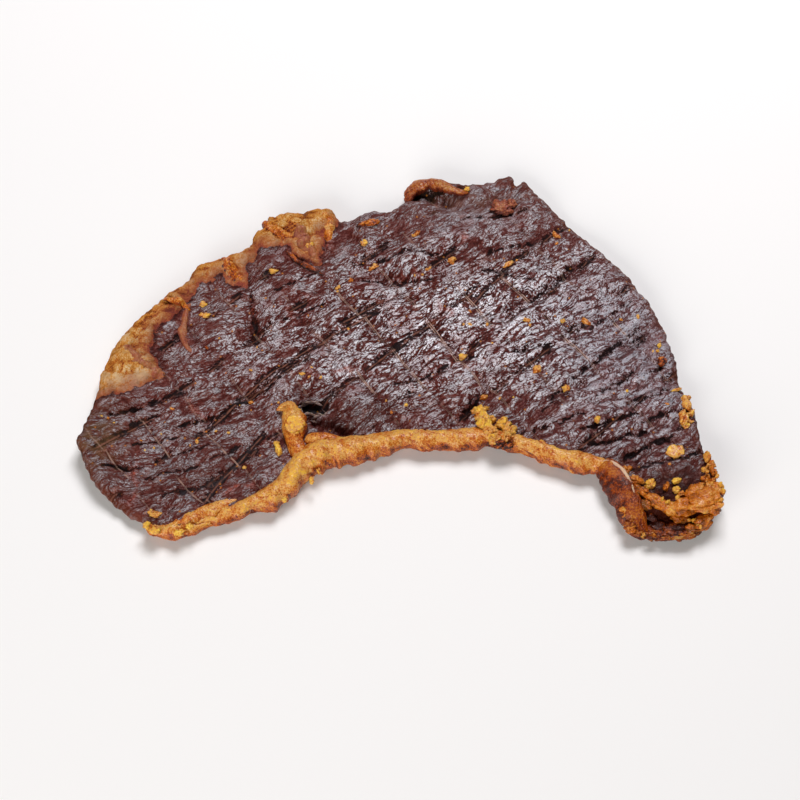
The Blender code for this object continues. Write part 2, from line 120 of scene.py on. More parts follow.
def slopeNoise(x, y, seed):
    # Perlin: every cell corner has a slope of its own, and 6t^5 - 15t^4 + 10t^3 blends the four
    ix, iy = np.floor(x).astype(np.int64), np.floor(y).astype(np.int64)
    fx, fy = x - ix, y - iy
    ux, uy = fx ** 3 * (fx * (6 * fx - 15) + 10), fy ** 3 * (fy * (6 * fy - 15) + 10)
    total = 0
    for dx in (0, 1):
        for dy in (0, 1):
            turn = np.pi * cellValue(ix + dx, iy + dy, seed)
            slope = np.cos(turn) * (fx - dx) + np.sin(turn) * (fy - dy)
            total = total + slope * (ux if dx else 1 - ux) * (uy if dy else 1 - uy)
    return 1.5 * total


def cellGap(x, y, seed):
    # Voronoi: second nearest minus nearest of one scattered point per cell, 0 on a line between two
    ix, iy = np.floor(x).astype(np.int64), np.floor(y).astype(np.int64)
    nearest, second = np.full(x.shape, 9.0), np.full(x.shape, 9.0)
    for dx in (-1, 0, 1):
        for dy in (-1, 0, 1):
            cx, cy = ix + dx, iy + dy
            away = np.hypot(x - cx - 0.5 - 0.45 * cellValue(cx, cy, seed),
                            y - cy - 0.5 - 0.45 * cellValue(cx, cy, seed + 1))
            second = np.minimum(second, np.maximum(nearest, away))
            nearest = np.minimum(nearest, away)
    return second - nearest


def turned(x, y, degrees):
    # Coordinates along and across a direction
    c, s = np.cos(np.radians(degrees)), np.sin(np.radians(degrees))
    return x * c + y * s, y * c - x * s


def mound(x, y, cx, cy, halfLength, halfWidth, degrees=0.0):
    # exp of minus the squared elliptical distance
    along, across = turned(x - cx, y - cy, degrees)
    return np.exp(-(along / halfLength) ** 2 - (across / halfWidth) ** 2)


def toStretch(x, y, x1, y1, x2, y2):
    # Distance to the straight line between two points
    run, rise = x2 - x1, y2 - y1
    share = np.clip(((x - x1) * run + (y - y1) * rise) / (run ** 2 + rise ** 2), 0, 1)
    return np.hypot(x - x1 - share * run, y - y1 - share * rise)


def toCurve(x, y, curve):
    # Distance to the nearest stretch of a curve
    gap = np.full(x.shape, 1e3)
    for a, b in zip(curve[:-1], curve[1:]):
        gap = np.minimum(gap, toStretch(x, y, *a[:2], *b[:2]))
    return gap


def ditch(x, y, stretch, halfWidth):
    # exp of minus the squared distance to a straight line, in half widths
    return np.exp(-(toStretch(x, y, *stretch) / halfWidth) ** 2)


def shaken(x, y, reach, size, seed):
    # The place moved by two noises
    return (x + reach * slopeNoise(x / size, y / size, seed),
            y + reach * slopeNoise(x / size, y / size, seed + 1))


def isInside(x, y, corners):
    # Even-odd rule: the number of sides crossed by a ray along +X
    inside = np.zeros(x.shape, bool)
    for (x1, y1), (x2, y2) in zip(corners, np.roll(corners, -1, axis=0)):
        crosses = (y1 > y) != (y2 > y)
        inside ^= crosses & (x < x1 + (y - y1) * (x2 - x1) / (y2 - y1 if y2 != y1 else 1e-9))
    return inside


def roughened(edge):
    # The edge moved by two noises of the plan position, fading out at both ends
    share = np.linspace(0, 1, len(edge))
    ends = np.minimum(1, 6 * np.minimum(share, 1 - share))
    x, y = edge.T / strip["raggedSize"]
    push = np.column_stack([softNoise(x, y, strip["seed"] + 1), softNoise(x, y, strip["seed"] + 2)])
    return edge + strip["ragged"] * push * ends[:, None]


def insetFront(edge):
    # The front edge moved inwards along its normal, so that the rim lies over its end
    along = np.gradient(edge, axis=0)
    inwards = np.stack([-along[:, 1], along[:, 0]], axis=1)
    inwards /= np.linalg.norm(inwards, axis=1)[:, None]
    low, high = strip["rimStart"]
    start = np.clip((edge[:, 0] - low) / (high - low), 0, 1)
    end = np.clip(8 * np.linspace(1, 0, len(edge)), 0, 1)
    return edge + strip["underRim"] * (start * end)[:, None] * inwards


def lift(x, y):
    # Underside height: cones of power 1.3 under the edges that curl up, and 0 elsewhere
    return sum(h * np.maximum(0, 1 - np.hypot(x - cx, y - cy) / reach) ** 1.3
               for cx, cy, reach, h in strip["curls"])


def broadHeight(x, y):
    # Underside + thickness + ridges, swells, hollows and furrows; the corner pocket is cut down to its floor
    toBack = np.clip((y + 0.55 * x - 20) / 45, 0, 1)
    full = lift(x, y) + strip["thick"] - strip["thinnerBehind"] * toBack ** 1.5
    along, across = turned(x, y, strip["grainAngle"])
    height, length, width = strip["ridge"]
    full += height * softNoise(along / length, across / width, strip["seed"])
    height, size = strip["swell"]
    full += height * softNoise(x / size, y / size, strip["seed"] + 5)
    for cx, cy, length, width, rise, degrees in strip["swells"]:
        full += rise * mound(x, y, cx, cy, length, width, degrees)
    for cx, cy, length, width, depth, degrees in strip["hollows"]:
        full -= depth * mound(x, y, cx, cy, length, width, degrees)
    for *stretch, depth, width in strip["furrows"]:
        full -= depth * ditch(x, y, stretch, width)
    share = pocketShare(x, y)
    return full * (1 - share) + (lift(x, y) + strip["pocketFloor"]) * share


def pocketShare(x, y):
    # 1 inside the ellipse of the corner pocket, falling to 0 just outside it
    cx, cy, length, width, degrees = strip["pocket"]
    along, across = turned(x - cx, y - cy, degrees)
    steep, reach = strip["pocketShare"]
    return np.clip(steep * (reach - np.hypot(along / length, across / width)), 0, 1)


def smoothStep(value, low, high):
    # 3t^2 - 2t^3 of the share from low to high
    t = np.clip((value - low) / (high - low), 0, 1)
    return t * t * (3 - 2 * t)


def blurred(grid, reach):
    # Mean over a square window of the grid, from running sums, twice
    for _ in range(2):
        for axis in (0, 1):
            pad = [(reach + 1, reach) if a == axis else (0, 0) for a in (0, 1)]
            sums = np.cumsum(np.pad(grid, pad, mode="edge"), axis=axis)
            size = grid.shape[axis]
            grid = (np.take(sums, np.arange(size) + 2 * reach + 1, axis)
                    - np.take(sums, np.arange(size), axis)) / (2 * reach + 1)
    return grid


def makePiece(name, grids, tips, attributes, material):
    # Each grid of closed rings becomes a tube, with one point closing each end; all tubes join in one mesh
    vertices, quads, triangles, start = [], [], [], 0
    for grid, (first, last) in zip(grids, tips):
        count, sides = grid.shape[:2]
        i, j = np.meshgrid(np.arange(count - 1), np.arange(sides), indexing="ij")
        k = (j + 1) % sides
        quads.append(start + np.stack([i * sides + j, (i + 1) * sides + j, (i + 1) * sides + k,
                                       i * sides + k], axis=-1).reshape(-1, 4))
        j = np.arange(sides)
        k, end = (j + 1) % sides, (count - 1) * sides
        triangles.append(start + np.stack([j, k, np.full(sides, count * sides)], axis=1))
        triangles.append(start + np.stack([end + k, end + j, np.full(sides, count * sides + 1)], axis=1))
        vertices += [grid.reshape(-1, 3), np.array([first, last], float)]
        start += count * sides + 2
    mesh = bpy.data.meshes.new(name)
    faces = np.vstack(quads).tolist() + np.vstack(triangles).tolist()
    mesh.from_pydata(np.vstack(vertices) * mm, [], faces)
    for label, values in attributes.items():
        kind, channel = ("FLOAT_VECTOR", "vector") if values.ndim == 2 else ("FLOAT", "value")
        layer = mesh.attributes.new(label, kind, "POINT")
        layer.data.foreach_set(channel, values.astype(np.float32).ravel())
    mesh.shade_smooth()
    mesh.materials.append(material)
    piece = bpy.data.objects.new(name, mesh)
    bpy.context.scene.collection.objects.link(piece)
    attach(piece, "root")
    print(f"{name}: {len(mesh.vertices)} points, {2 * len(faces)} triangles at most")
    return piece


def linear(hexColour):
    # sRGB hex to linear: ((c + 0.055) / 1.055) ^ 2.4 above 0.04045
    channels = [int(hexColour[i:i + 2], 16) / 255 for i in (1, 3, 5)]
    return (*[c / 12.92 if c <= 0.04045 else ((c + 0.055) / 1.055) ** 2.4 for c in channels], 1.0)


def addNode(tree, kind, inputs=(), give=None, stops=None, **settings):
    # Adds a node and returns one output: settings are its properties, inputs are values or sockets to link,
    # by name or in the order of the sockets in use, stops fill a ramp, and give names another output than
    # the first in use
    made = tree.nodes.new("ShaderNode" + kind)
    for name, value in settings.items():
        setattr(made, name, value)
    used = [socket for socket in made.inputs if socket.enabled]
    if isinstance(inputs, dict):
        used = [next(socket for socket in used if socket.name == name) for name in inputs]
        inputs = inputs.values()
    for socket, value in zip(used, inputs):
        if isinstance(value, bpy.types.NodeSocket):
            tree.links.new(value, socket)
        else:
            socket.default_value = value
    if stops:
        ramp = made.color_ramp.elements
        while len(ramp) < len(stops):
            ramp.new(1.0)
        for element, (place, colour) in zip(ramp, stops):
            element.position = place
            element.color = linear(colour)
    return made.outputs[give] if give else next(s for s in made.outputs if s.enabled)


def newMaterial(name, constants):
    # A material with only a Principled shader, whose even values are set on its own sockets
    material = bpy.data.materials.new(name)
    material.use_nodes = True
    shader = material.node_tree.nodes["Principled BSDF"]
    for label, value in constants.items():
        shader.inputs[label].default_value = value
    return material, material.node_tree, shader


# Lean meat: the wrinkled, glossy slice itself
lean = {
    "leastStep": 0.01,                         # between two lines at either edge, mm
    "columns": 426, "topRows": 190, "underRows": 42, "rowSpread": 0.8,
    "fineRagged": (0.46, 1.4),                 # push of the cut edge, and length of one in-and-out
    "bend": (0.27, 0.43, -48.0, 10.0),         # slope of the fibres at the left, its rise, from x, over
    "flatter": (0.1, 44.0, -16.0, 8.0),        # its fall at the right front: by, from x, below y, over
    "bundle": (0.26, 9.0, 3.4, 7.0),           # height, length, width across, flatness on top
    "scale": (0.3, 5.6, 1.7, 0.34),            # scales: height, length, width, a cleft's half width
    # where scales rule
    "ribbed": [(60, -24, 22, 12, 20, 0.9), (56, 2, 16, 16, 30, 0.5), (-52, -28, 24, 18, 20, -0.3)],
    "pad": (0.4, 11.0, 5.4),                   # broad tilts, which catch the light or miss it
    "cushion": (1.05, 0.5),                    # rise between the wires, and how rounded
    "sunkBy": 0.86,                            # keeps the mean height where the solid has it
    "underWrinkle": (0.35, 7.0, 3.0), "thinnest": 0.5,
    # painted shade darkens each crease by its hollow mark
    "hollowShares": (0.3, 0.5),                # of the wide and the broad hollows in what darkens a crease
    "underShift": 40.0,                        # mm from the pattern on top to the one below
    "roughness": [
        (62, -24, 20, 11, 20, 0.55), (45, 30, 24, 9, -52, -0.35), (-22, 33, 16, 9, 10, -0.45),
        (15, 45, 22, 8, 0, -0.25), (5, 12, 26, 20, 0, 0.15)],
    "fatBorder": [
        (-84, -17), (-76.1, -15.5), (-70.2, -13.5), (-62.9, -10.2), (-59.9, -8.5), (-61.2, -4.3),
        (-64.1, 0.2), (-61.9, 5.3), (-57.5, 10.2), (-54.7, 14.6), (-51.8, 18.9), (-46.1, 21.4),
        (-43.4, 18.9), (-39.7, 18), (-40, 24.6), (-36, 29.7), (-28.6, 31), (-25.9, 27.1), (-21.1, 25.9),
        (-20.1, 30.3), (-19.7, 34.9), (-15.5, 38.8), (-13, 48), (-50, 50), (-90, 10)],
    "narrow": 0.68,                            # share of the half widths below
    "cracks": [
        (-38.6, 16.9, -36.8, 4.6, 0.9, 0.6), (-36.8, 4.6, -35.9, 0.1, 0.7, 0.6),
        (-72.2, -19.7, -64.9, -17.6, 1, 0.7), (-68.5, -18.6, -57.5, -14.2, 0.9, 0.55),
        (-67, -22.6, -60.5, -19.6, 0.7, 0.5), (-9.2, 20.4, -0.8, 19.7, 0.8, 0.5),
        (-0.8, 19.7, 8.4, 21.3, 0.9, 0.55), (35.1, 15.4, 39.7, 18.5, 0.8, 0.6),
        (39.7, 18.5, 45.4, 24.5, 1, 0.9), (44.6, -10, 52.9, -2, 0.8, 0.55),
        (52.9, -2, 62.1, 5.8, 0.8, 0.55), (38.3, -15.3, 41.7, -11.8, 0.8, 0.6),
        (16.8, -19.1, 20.2, -14.7, 0.9, 0.8), (16.5, 40.9, 27.2, 41.2, 0.8, 0.6),
        (27.2, 41.2, 35.3, 43.5, 0.9, 0.6), (48, -28.6, 62, -24.6, 1, 0.6),
        (56, -31.8, 68, -26.2, 1.1, 0.7), (57, -35.4, 75, -31.4, 1.1, 0.7), (46, -24, 60, -19.4, 0.9, 0.55),
        (61, -22, 74, -17.6, 0.9, 0.6), (58, -16.8, 72, -11.6, 0.8, 0.5), (50, -14.6, 60, -8, 0.7, 0.5),
        (34, -24.6, 46, -19.8, 0.8, 0.5), (62, -9, 70, -4, 0.7, 0.5), (-66, -28.6, -54, -26, 0.8, 0.5),
        (-60, -33, -47, -28.8, 0.8, 0.5), (-72, -34.5, -64, -35.5, 0.9, 0.7),
        (-62, -38.5, -50, -35.6, 0.8, 0.5), (-56, -23.4, -43, -19.4, 0.8, 0.5),
        (-58, -43, -44, -39.4, 0.8, 0.6), (-48, -34, -38, -29, 0.7, 0.5), (-40, -17, -31, -10.5, 0.8, 0.5),
        (-1, -11.4, 9, -8.6, 0.8, 0.6), (-6, 25.4, 4, 31.4, 0.8, 0.6), (3, 30, 14, 27.6, 0.7, 0.5),
        (22, 24.6, 36, 20.4, 0.7, 0.5), (30, -1.2, 38, 0.6, 0.8, 0.6), (14, -4, 20, -2.4, 0.7, 0.5),
        (24, 30, 40, 34, 0.7, 0.6), (-32, 17.4, -22, 22, 0.6, 0.45), (50, 6, 61, 14, 0.7, 0.5),
        (-30, 8, -20, 13, 0.6, 0.45), (4.6, 48.2, 11.4, 48.8, 1.3, 1.8)],
    "risingMarks": [
        (-49.3, -25.7, -34.5, -9.8), (-47.1, -43.8, -33.9, -26.3), (-19.3, 1.6, -5.7, 10.7),
        (-6.4, -5.3, 8.2, 7.7), (-74, -29.4, -63.3, -21.4), (-25.1, -2, -17.5, 2.2),
        (19.5, 14.1, 30.3, 26.4), (-13.7, 7.7, -4.7, 13.8), (-34.5, -9.8, -25.1, -2)],
    "fallingMarks": [
        (-63.3, -22.5, -57, -31.1), (-48.1, -24.8, -40, -34.2), (-71.3, -31.9, -67.2, -36.7),
        (-53.5, -38.9, -49.1, -43.6), (-14.9, 15.7, -10.6, 10.1), (-7.8, 8.3, -4.9, 3.7),
        (-0.3, -1.7, 6.3, -11.5), (8.5, 7, 15.3, -3.2), (16.1, -3.5, 20.8, -10.9), (18.2, 15.1, 24, 8),
        (27.7, 21.3, 33.3, 15.7), (43.4, 2.8, 48, -3.2), (56, 8, 58.4, 4.3), (-9.7, -8, -6.8, -12.7)],
    "rackWires": {"rising": (41.0, 13.0, 0.2), "falling": (-52.0, 12.5, 11.0)},   # direction, spacing, offset
    "rackPress": (0.18, 1.0, 1.5),             # depth, half width, reach round a mark
    "plainPress": {"rising": 0.7, "falling": 0.35},
    "hole": (-19.6, -19.8, -20.0),
    "holeFolds": (0.34, 1.9, 6.4, 3.4),        # height, spacing, middle of the ring of folds, its half width
    "holeCuts": [(-24.6, -17.2, -19, -17, 2.8, 1.1), (-21, -21.6, -13.5, -24.2, 1.5, 1.2)],
    "holeRidge": (-23.6, -19.1, -17.0, -19.9, 1.3, 0.95),
    "reddish": [
        (-29, 30.2, -24.6, 26, 1.3), (-24.6, 26, -20.2, 22.2, 0.8), (-56.6, 13.2, -54.8, 8.4, 0.8),
        (-54.8, 8.4, -54.9, 3.8, 1), (-54.9, 3.8, -52.4, -1.6, 1.1), (-66, 0.6, -62.6, -4.6, 1.5),
        (-62.6, -4.6, -58.8, -9.4, 1.3), (-52.4, -16.2, -48.3, -22, 0.5), (-65.6, -34.7, -64.4, -40, 0.7),
        (-64.4, -40, -65.4, -45, 0.6), (-73.4, -30.6, -69, -29.2, 0.6), (3.6, 24.2, 5.2, 22.6, 0.8),
        (-4.4, 13.6, -2.8, 13.2, 0.8), (11.6, 12.6, 13.8, 10.4, 0.9), (10, 8.4, 14, 9.6, 0.7),
        (57.6, -11.9, 60, -11, 0.6), (-14, -11, -9, -13, 0.6), (-24, -6.4, -20, -9, 0.9),
        (-16.4, -8, -11.6, -6, 0.6), (-30, 13, -27, 9, 0.7), (-26.4, 17.6, -23, 15.8, 0.7),
        (17, 34, 20, 34, 0.9), (-42.8, -42, -35.4, -38.8, 0.7), (-38.2, 12.6, -37.4, 7.2, 0.5),
        (-18.4, 32.6, -21.2, 28, 1.4)],
    # places of grease, with lower roughness and a stronger coat, where the colour also carries more painted
    # sheen and contrast
    "greaseAndSheen": [
        (8, 6, 34, 22, 15, 0.95), (44, 8, 24, 20, 35, 0.8), (62, -14, 16, 14, 20, 0.7),
        (-35, 0, 14, 12, 30, 0.3)],
    # painted sheen: a grey-lilac brightening where a mound is positive; darker patches where it is negative
    "sheenAndDarkPatches": [
        (60, -2, 20, 26, 25, 1), (18, 44, 16, 7, 0, 0.5), (67, -40, 12, 6, 20, -1.3),
        (-9, -20, 10, 5, 0, -0.6), (-50, -38, 18, 8, 15, -0.35)],
    # painted shade: a patch that carries the dark of the corner pocket past its rim
    "stain": [(65, -49, 9, 4.6, 4, 1.3)],
    "cream": [(-69, -9, 8, 5, 30, 1), (-70, 6, 5, 4, 40, 0.5), (-16, 42, 5, 4, 0, 0.4)],
    "olive": [(-77, -27, 7, 9, 0, 0.9), (18, 46, 16, 5, 0, 0.25)],
}


def fibrePlace(x, y):
    # Along: the plan position turned to the grain. Across: height above a line whose slope rises smoothly
    # from left to right (a logistic slope, so its height is a log of 1 + e^x), both nudged by noise
    slope, rise, start, over = lean["bend"]
    line = slope * x + rise * over * np.logaddexp(0, (x - start) / over)
    fall, fromX, belowY, over = lean["flatter"]
    line -= fall * over * np.logaddexp(0, (x - fromX) / over) / (1 + np.exp((y - belowY) / over))
    along = turned(x, y, strip["grainAngle"])[0] + 1.6 * slopeNoise(x / 9, y / 9, 31)
    across = 0.84 * (y - line) + 1.3 * slopeNoise(x / 11, y / 8, 32) + 0.5 * slopeNoise(x / 3.6, y / 3.6, 33)
    return along, across


def veinShare(x, y):
    # The largest exp(-(distance / half width)^2) over the reddish strings, measured from a shaken position
    wx, wy = shaken(x, y, 1.2, 3.2, 64)
    return np.max([ditch(wx, wy, stretch, halfWidth) for *stretch, halfWidth in lean["reddish"]], axis=0)


def mounds(x, y, rows):
    # Sum of bumps, each with its own height
    return sum(row[5] * mound(x, y, *row[:5]) for row in rows)


def fatDepth(x, y):
    # Distance to the border of the fat behind the left end, positive inside the fat
    corners = np.array(lean["fatBorder"])
    closed = np.vstack([corners, corners[:1]])
    gap = toCurve(x, y, closed)
    return np.where(isInside(x, y, corners), gap, -gap) + 0.8 * slopeNoise(x / 3.5, y / 3.5, 41)


def wireMarks(x, y, family):
    # Signed distance to the nearest wire of a family of parallel ones, and how hard it pressed: a noise for
    # the plain wires, and exp(-(distance / reach)^2) round a drawn mark, whose own line then counts
    wx, wy = shaken(x, y, 0.5, 6, 51)
    degrees, spacing, offset = lean["rackWires"][family]
    side = (turned(wx, wy, degrees)[1] - offset + spacing / 2) % spacing - spacing / 2
    reach = lean["rackPress"][2]
    press = lean["plainPress"][family] * smoothStep(slopeNoise(x / 8, y / 8, 53 + int(spacing)), -0.1, 0.35)
    for x1, y1, x2, y2 in lean[family + "Marks"]:
        own = (wy - y1) * (x2 - x1) - (wx - x1) * (y2 - y1)
        near = ditch(wx, wy, (x1, y1, x2, y2), reach)
        side = np.where(near > press, own / np.hypot(x2 - x1, y2 - y1), side)
        press = np.maximum(press, near)
    return side, press


def rackPillow(x, y):
    # Between the wires the meat stands up: the product of |sin|^rounded over both families, times a noise
    height, rounded = lean["cushion"]
    wx, wy = shaken(x, y, 1.6, 12, 54)
    pillow = height * (0.75 + 0.6 * slopeNoise(x / 15, y / 15, 56))
    for degrees, spacing, offset in lean["rackWires"].values():
        pillow = pillow * np.abs(np.sin(np.pi * (turned(wx, wy, degrees)[1] - offset) / spacing)) ** rounded
    return pillow


def crackDepth(x, y):
    # Narrow cracks: the deepest exp(-(distance / half width)^2), measured from a shaken position
    wx, wy = shaken(x, y, 0.9, 1.9, 61)
    broken = 0.75 + 0.5 * slopeNoise(x / 2.6, y / 2.6, 63)
    depth = np.zeros(x.shape)
    for *stretch, deep, halfWidth in lean["cracks"]:
        depth = np.maximum(depth, deep * broken * ditch(wx, wy, stretch, lean["narrow"] * halfWidth))
    return depth


def leanRelief(x, y):
    # Fine relief over the broad form: bundles, 1 - exp(-flatness * |noise|) of a noise stretched along the
    # fibres, and scales, 1 - exp(-distance to the cleft / half width) in a stretched Voronoi pattern, so
    # that tops are flat and valleys sharp; then pads of plain noise, pillows between the wires, cracks,
    # folds round the hole, and lumps in the fat
    along, across = fibrePlace(x, y)
    ribbed = mounds(x, y, lean["ribbed"])
    height, length, width, flat = lean["bundle"]
    folded = height * (1 - 0.5 * ribbed) * (
        1 - np.exp(-flat * np.abs(slopeNoise(along / length, across / width, 71))))
    height, length, width, halfWidth = lean["scale"]
    cleft = 0.5 * width * cellGap(
        along / length + 0.3 * slopeNoise(along / 2.4, across / 1.5, 78),
        across / width + 0.4 * slopeNoise(along / 2.8, across / 1.7, 79), 84)
    strong = 0.35 + 0.65 * smoothStep(slopeNoise(along / 10, across / 6, 85) + 0.5 * ribbed, -0.25, 0.3)
    folded += height * (1 + 0.6 * ribbed) * strong * (1 - np.exp(-cleft / halfWidth))
    height, length, width = lean["pad"]
    pad = height * slopeNoise(along / length, across / width, 77)
    strength = 1 + mounds(x, y, lean["roughness"])
    fat = fatDepth(x, y)
    inFat = smoothStep(fat, -0.6, 0.8)
    cx, cy, degrees = lean["hole"]
    u, v = turned(x - cx, y - cy, degrees)
    ring = np.hypot(u, 1.35 * v) + 0.5 * slopeNoise(x / 3, y / 3, 74)
    height, spacing, middle, halfWidth = lean["holeFolds"]
    nearHole = np.exp(-((ring - middle) / halfWidth) ** 2)
    folds = height * np.abs(np.sin(np.pi * ring / spacing)) * nearHole
    rising, risingPress = wireMarks(x, y, "rising")
    falling, fallingPress = wireMarks(x, y, "falling")
    depth, halfWidth = lean["rackPress"][:2]
    wire = np.maximum(risingPress * np.exp(-(rising / halfWidth) ** 2),
                      fallingPress * np.exp(-(falling / halfWidth) ** 2))
    lively = (1 - 0.8 * inFat) * (1 - 0.3 * nearHole)
    detail = lively * (strength * (folded + pad) * (1 - 0.55 * wire) + rackPillow(x, y))
    vein = veinShare(x, y)
    detail += folds - depth * wire * (1 - inFat) + 0.3 * vein
    clumps = np.minimum(1, 1.5 * cellGap(x / 3.1 + 0.5 * slopeNoise(x / 2, y / 2, 86), y / 2.6, 87))
    lumpy = 1.1 * slopeNoise(x / 4.5, y / 4.5, 75) + 0.8 * np.abs(slopeNoise(x / 2.6, y / 2.6, 76))
    lumpy = lumpy + 0.8 * clumps - 0.7
    detail += inFat * (0.45 + lumpy) - 0.45 * np.exp(-(fat / 0.7) ** 2)
    for *stretch, deep, halfWidth in lean["holeCuts"]:
        detail -= deep * ditch(x, y, stretch, halfWidth)
    *stretch, high, halfWidth = lean["holeRidge"]
    detail += high * ditch(x, y, stretch, halfWidth)
    crack = crackDepth(x, y) * (1 - 0.7 * inFat)
    *stretch, deep, halfWidth = lean["holeCuts"][0]
    opened = ditch(x, y, stretch, 0.8 * halfWidth)
    detail -= crack + lean["sunkBy"] * (1 - inFat)
    detail *= 1 - 0.8 * pocketShare(x, y)
    return detail, {"fat": fat, "crack": np.maximum(crack, 1.3 * opened), "red": vein,
                    "rising": rising, "risingPress": risingPress, "falling": falling,
                    "fallingPress": fallingPress, "cleft": cleft / np.maximum(strong, 0.2)}


def surfaceHeight(x, y):
    # Height of the finished top, away from the cut edge
    return broadHeight(x, y) + leanRelief(x, y)[0]


def sliceEdges():
    # Front and back edge as smooth curves from the left tip to the right tip, roughened as the solid is
    ends = [strip["leftTip"]], [strip["rightTip"]]
    front = smoothCurve(ends[0] + strip["front"] + ends[1])
    back = smoothCurve(ends[0] + strip["back"] + ends[1])
    return insetFront(roughened(front)), roughened(back)


def uncrossed(edge, lines):
    # An edge moved so that the straight lines from it don't cross. With t the way gone across the lines so
    # far, less the least step per line, a point moves across by max(t) - t: by 0 where the edge runs on.
    across = np.column_stack([lines[:, 1], -lines[:, 0]]) / np.linalg.norm(lines, axis=1)[:, None]
    steps = np.sum(np.diff(edge, axis=0) * across[:-1], axis=1)
    gone = np.append(0, np.cumsum(steps - lean["leastStep"]))
    return edge + (np.maximum.accumulate(gone) - gone)[:, None] * across


def makeLean(material):
    # A ruled loft: straight lines join points of equal share on the two edges, and over each line runs a
    # closed ring, across the top and back along the underside. Near the outline the height falls from the
    # top to the edge's middle line as a quarter circle, sqrt(1 - (1 - d / R)^2), and the same from below.
    front, back = sliceEdges()
    shares = np.linspace(0, 1, lean["columns"] + 1)[1:-1]
    push, size = lean["fineRagged"]
    edges = []
    for edge in (front, back):
        edge = atShares(edge, shares)
        x, y = edge.T / size
        edges.append(edge + push * np.column_stack([slopeNoise(x, y, 81), slopeNoise(x, y, 82)]))
    front, back = [uncrossed(edge, edges[1] - edges[0]) for edge in edges]
    even = np.linspace(0, 1, lean["topRows"])
    spread = lean["rowSpread"]
    rows = spread * even + (1 - spread) * (0.5 - 0.5 * np.cos(np.pi * even))
    rows = np.concatenate([rows, np.linspace(1, 0, lean["underRows"] + 2)[1:-1]])
    plan = front[:, None] * (1 - rows[:, None]) + back[:, None] * rows[:, None]
    x, y = plan[..., 0], plan[..., 1]
    gap = np.full(x.shape, 99.0)
    for point in np.vstack([front, back]):
        gap = np.minimum(gap, np.hypot(x - point[0], y - point[1]))
    rounding = np.sqrt(1 - (1 - np.clip(gap / strip["edgeRadius"], 0, 1)) ** 2)
    isTop = np.arange(len(rows)) < lean["topRows"]
    broad, floor = broadHeight(x, y), lift(x, y)
    detail, marks = leanRelief(x, y)
    along, across = fibrePlace(x, y)
    height, length, width = lean["underWrinkle"]
    under = floor + height * np.abs(slopeNoise(along / length, across / width, 83))
    middle = floor + strip["edgeMiddle"] * (broad - floor)
    over = np.maximum(broad + detail, under + lean["thinnest"])
    z = middle + (np.where(isTop, over, under) - middle) * rounding
    hollow = np.where(isTop, detail - blurred(detail, 3), 0.0)
    wideHollow = np.where(isTop, detail - blurred(detail, 11), 0.0)
    # how steeply the top rises towards the back along each line, which the material turns into painted sheen
    # on slopes facing the softbox behind
    stepped = np.hypot(*np.gradient(plan, axis=1).transpose(2, 0, 1))
    rise = -np.gradient(blurred(broad + detail, 1), axis=1)
    facing = np.where(isTop, rise / np.maximum(stepped, 0.05), 0.0)
    wideShare, broadShare = lean["hollowShares"]
    broadHollow = np.where(isTop, broad - blurred(broad, 9), 0.0)
    attributes = {
        **marks, "hollow": hollow + wideShare * wideHollow + broadShare * broadHollow, "edgeGap": gap,
        "facing": facing, "pocket": np.clip(pocketShare(x, y) + mounds(x, y, lean["stain"]), 0, 1),
        "sheenAndDarkPatches": np.clip(mounds(x, y, lean["sheenAndDarkPatches"]), -1, 1),
        **{label: np.clip(mounds(x, y, lean[label]), 0, 1) for label in ("cream", "greaseAndSheen", "olive")},
    }
    values = {name: np.append(grid.ravel(), [grid[0].mean(), grid[-1].mean()])
              for name, grid in attributes.items()}
    shifted = np.where(isTop, 0.0, lean["underShift"]) + 0 * x
    grain = np.stack([along, across, shifted], axis=-1).reshape(-1, 3)
    values["grain"] = np.vstack([grain, grain[:1], grain[-1:]])
    tips = np.array([strip["leftTip"], strip["rightTip"]])
    low = lift(*tips.T)
    ends = np.column_stack([tips, low + strip["edgeMiddle"] * (broadHeight(*tips.T) - low)])
    piece = makePiece("lean_meat", [np.dstack([plan, z])], [ends], values, material)
    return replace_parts(piece, "jerky_slab")


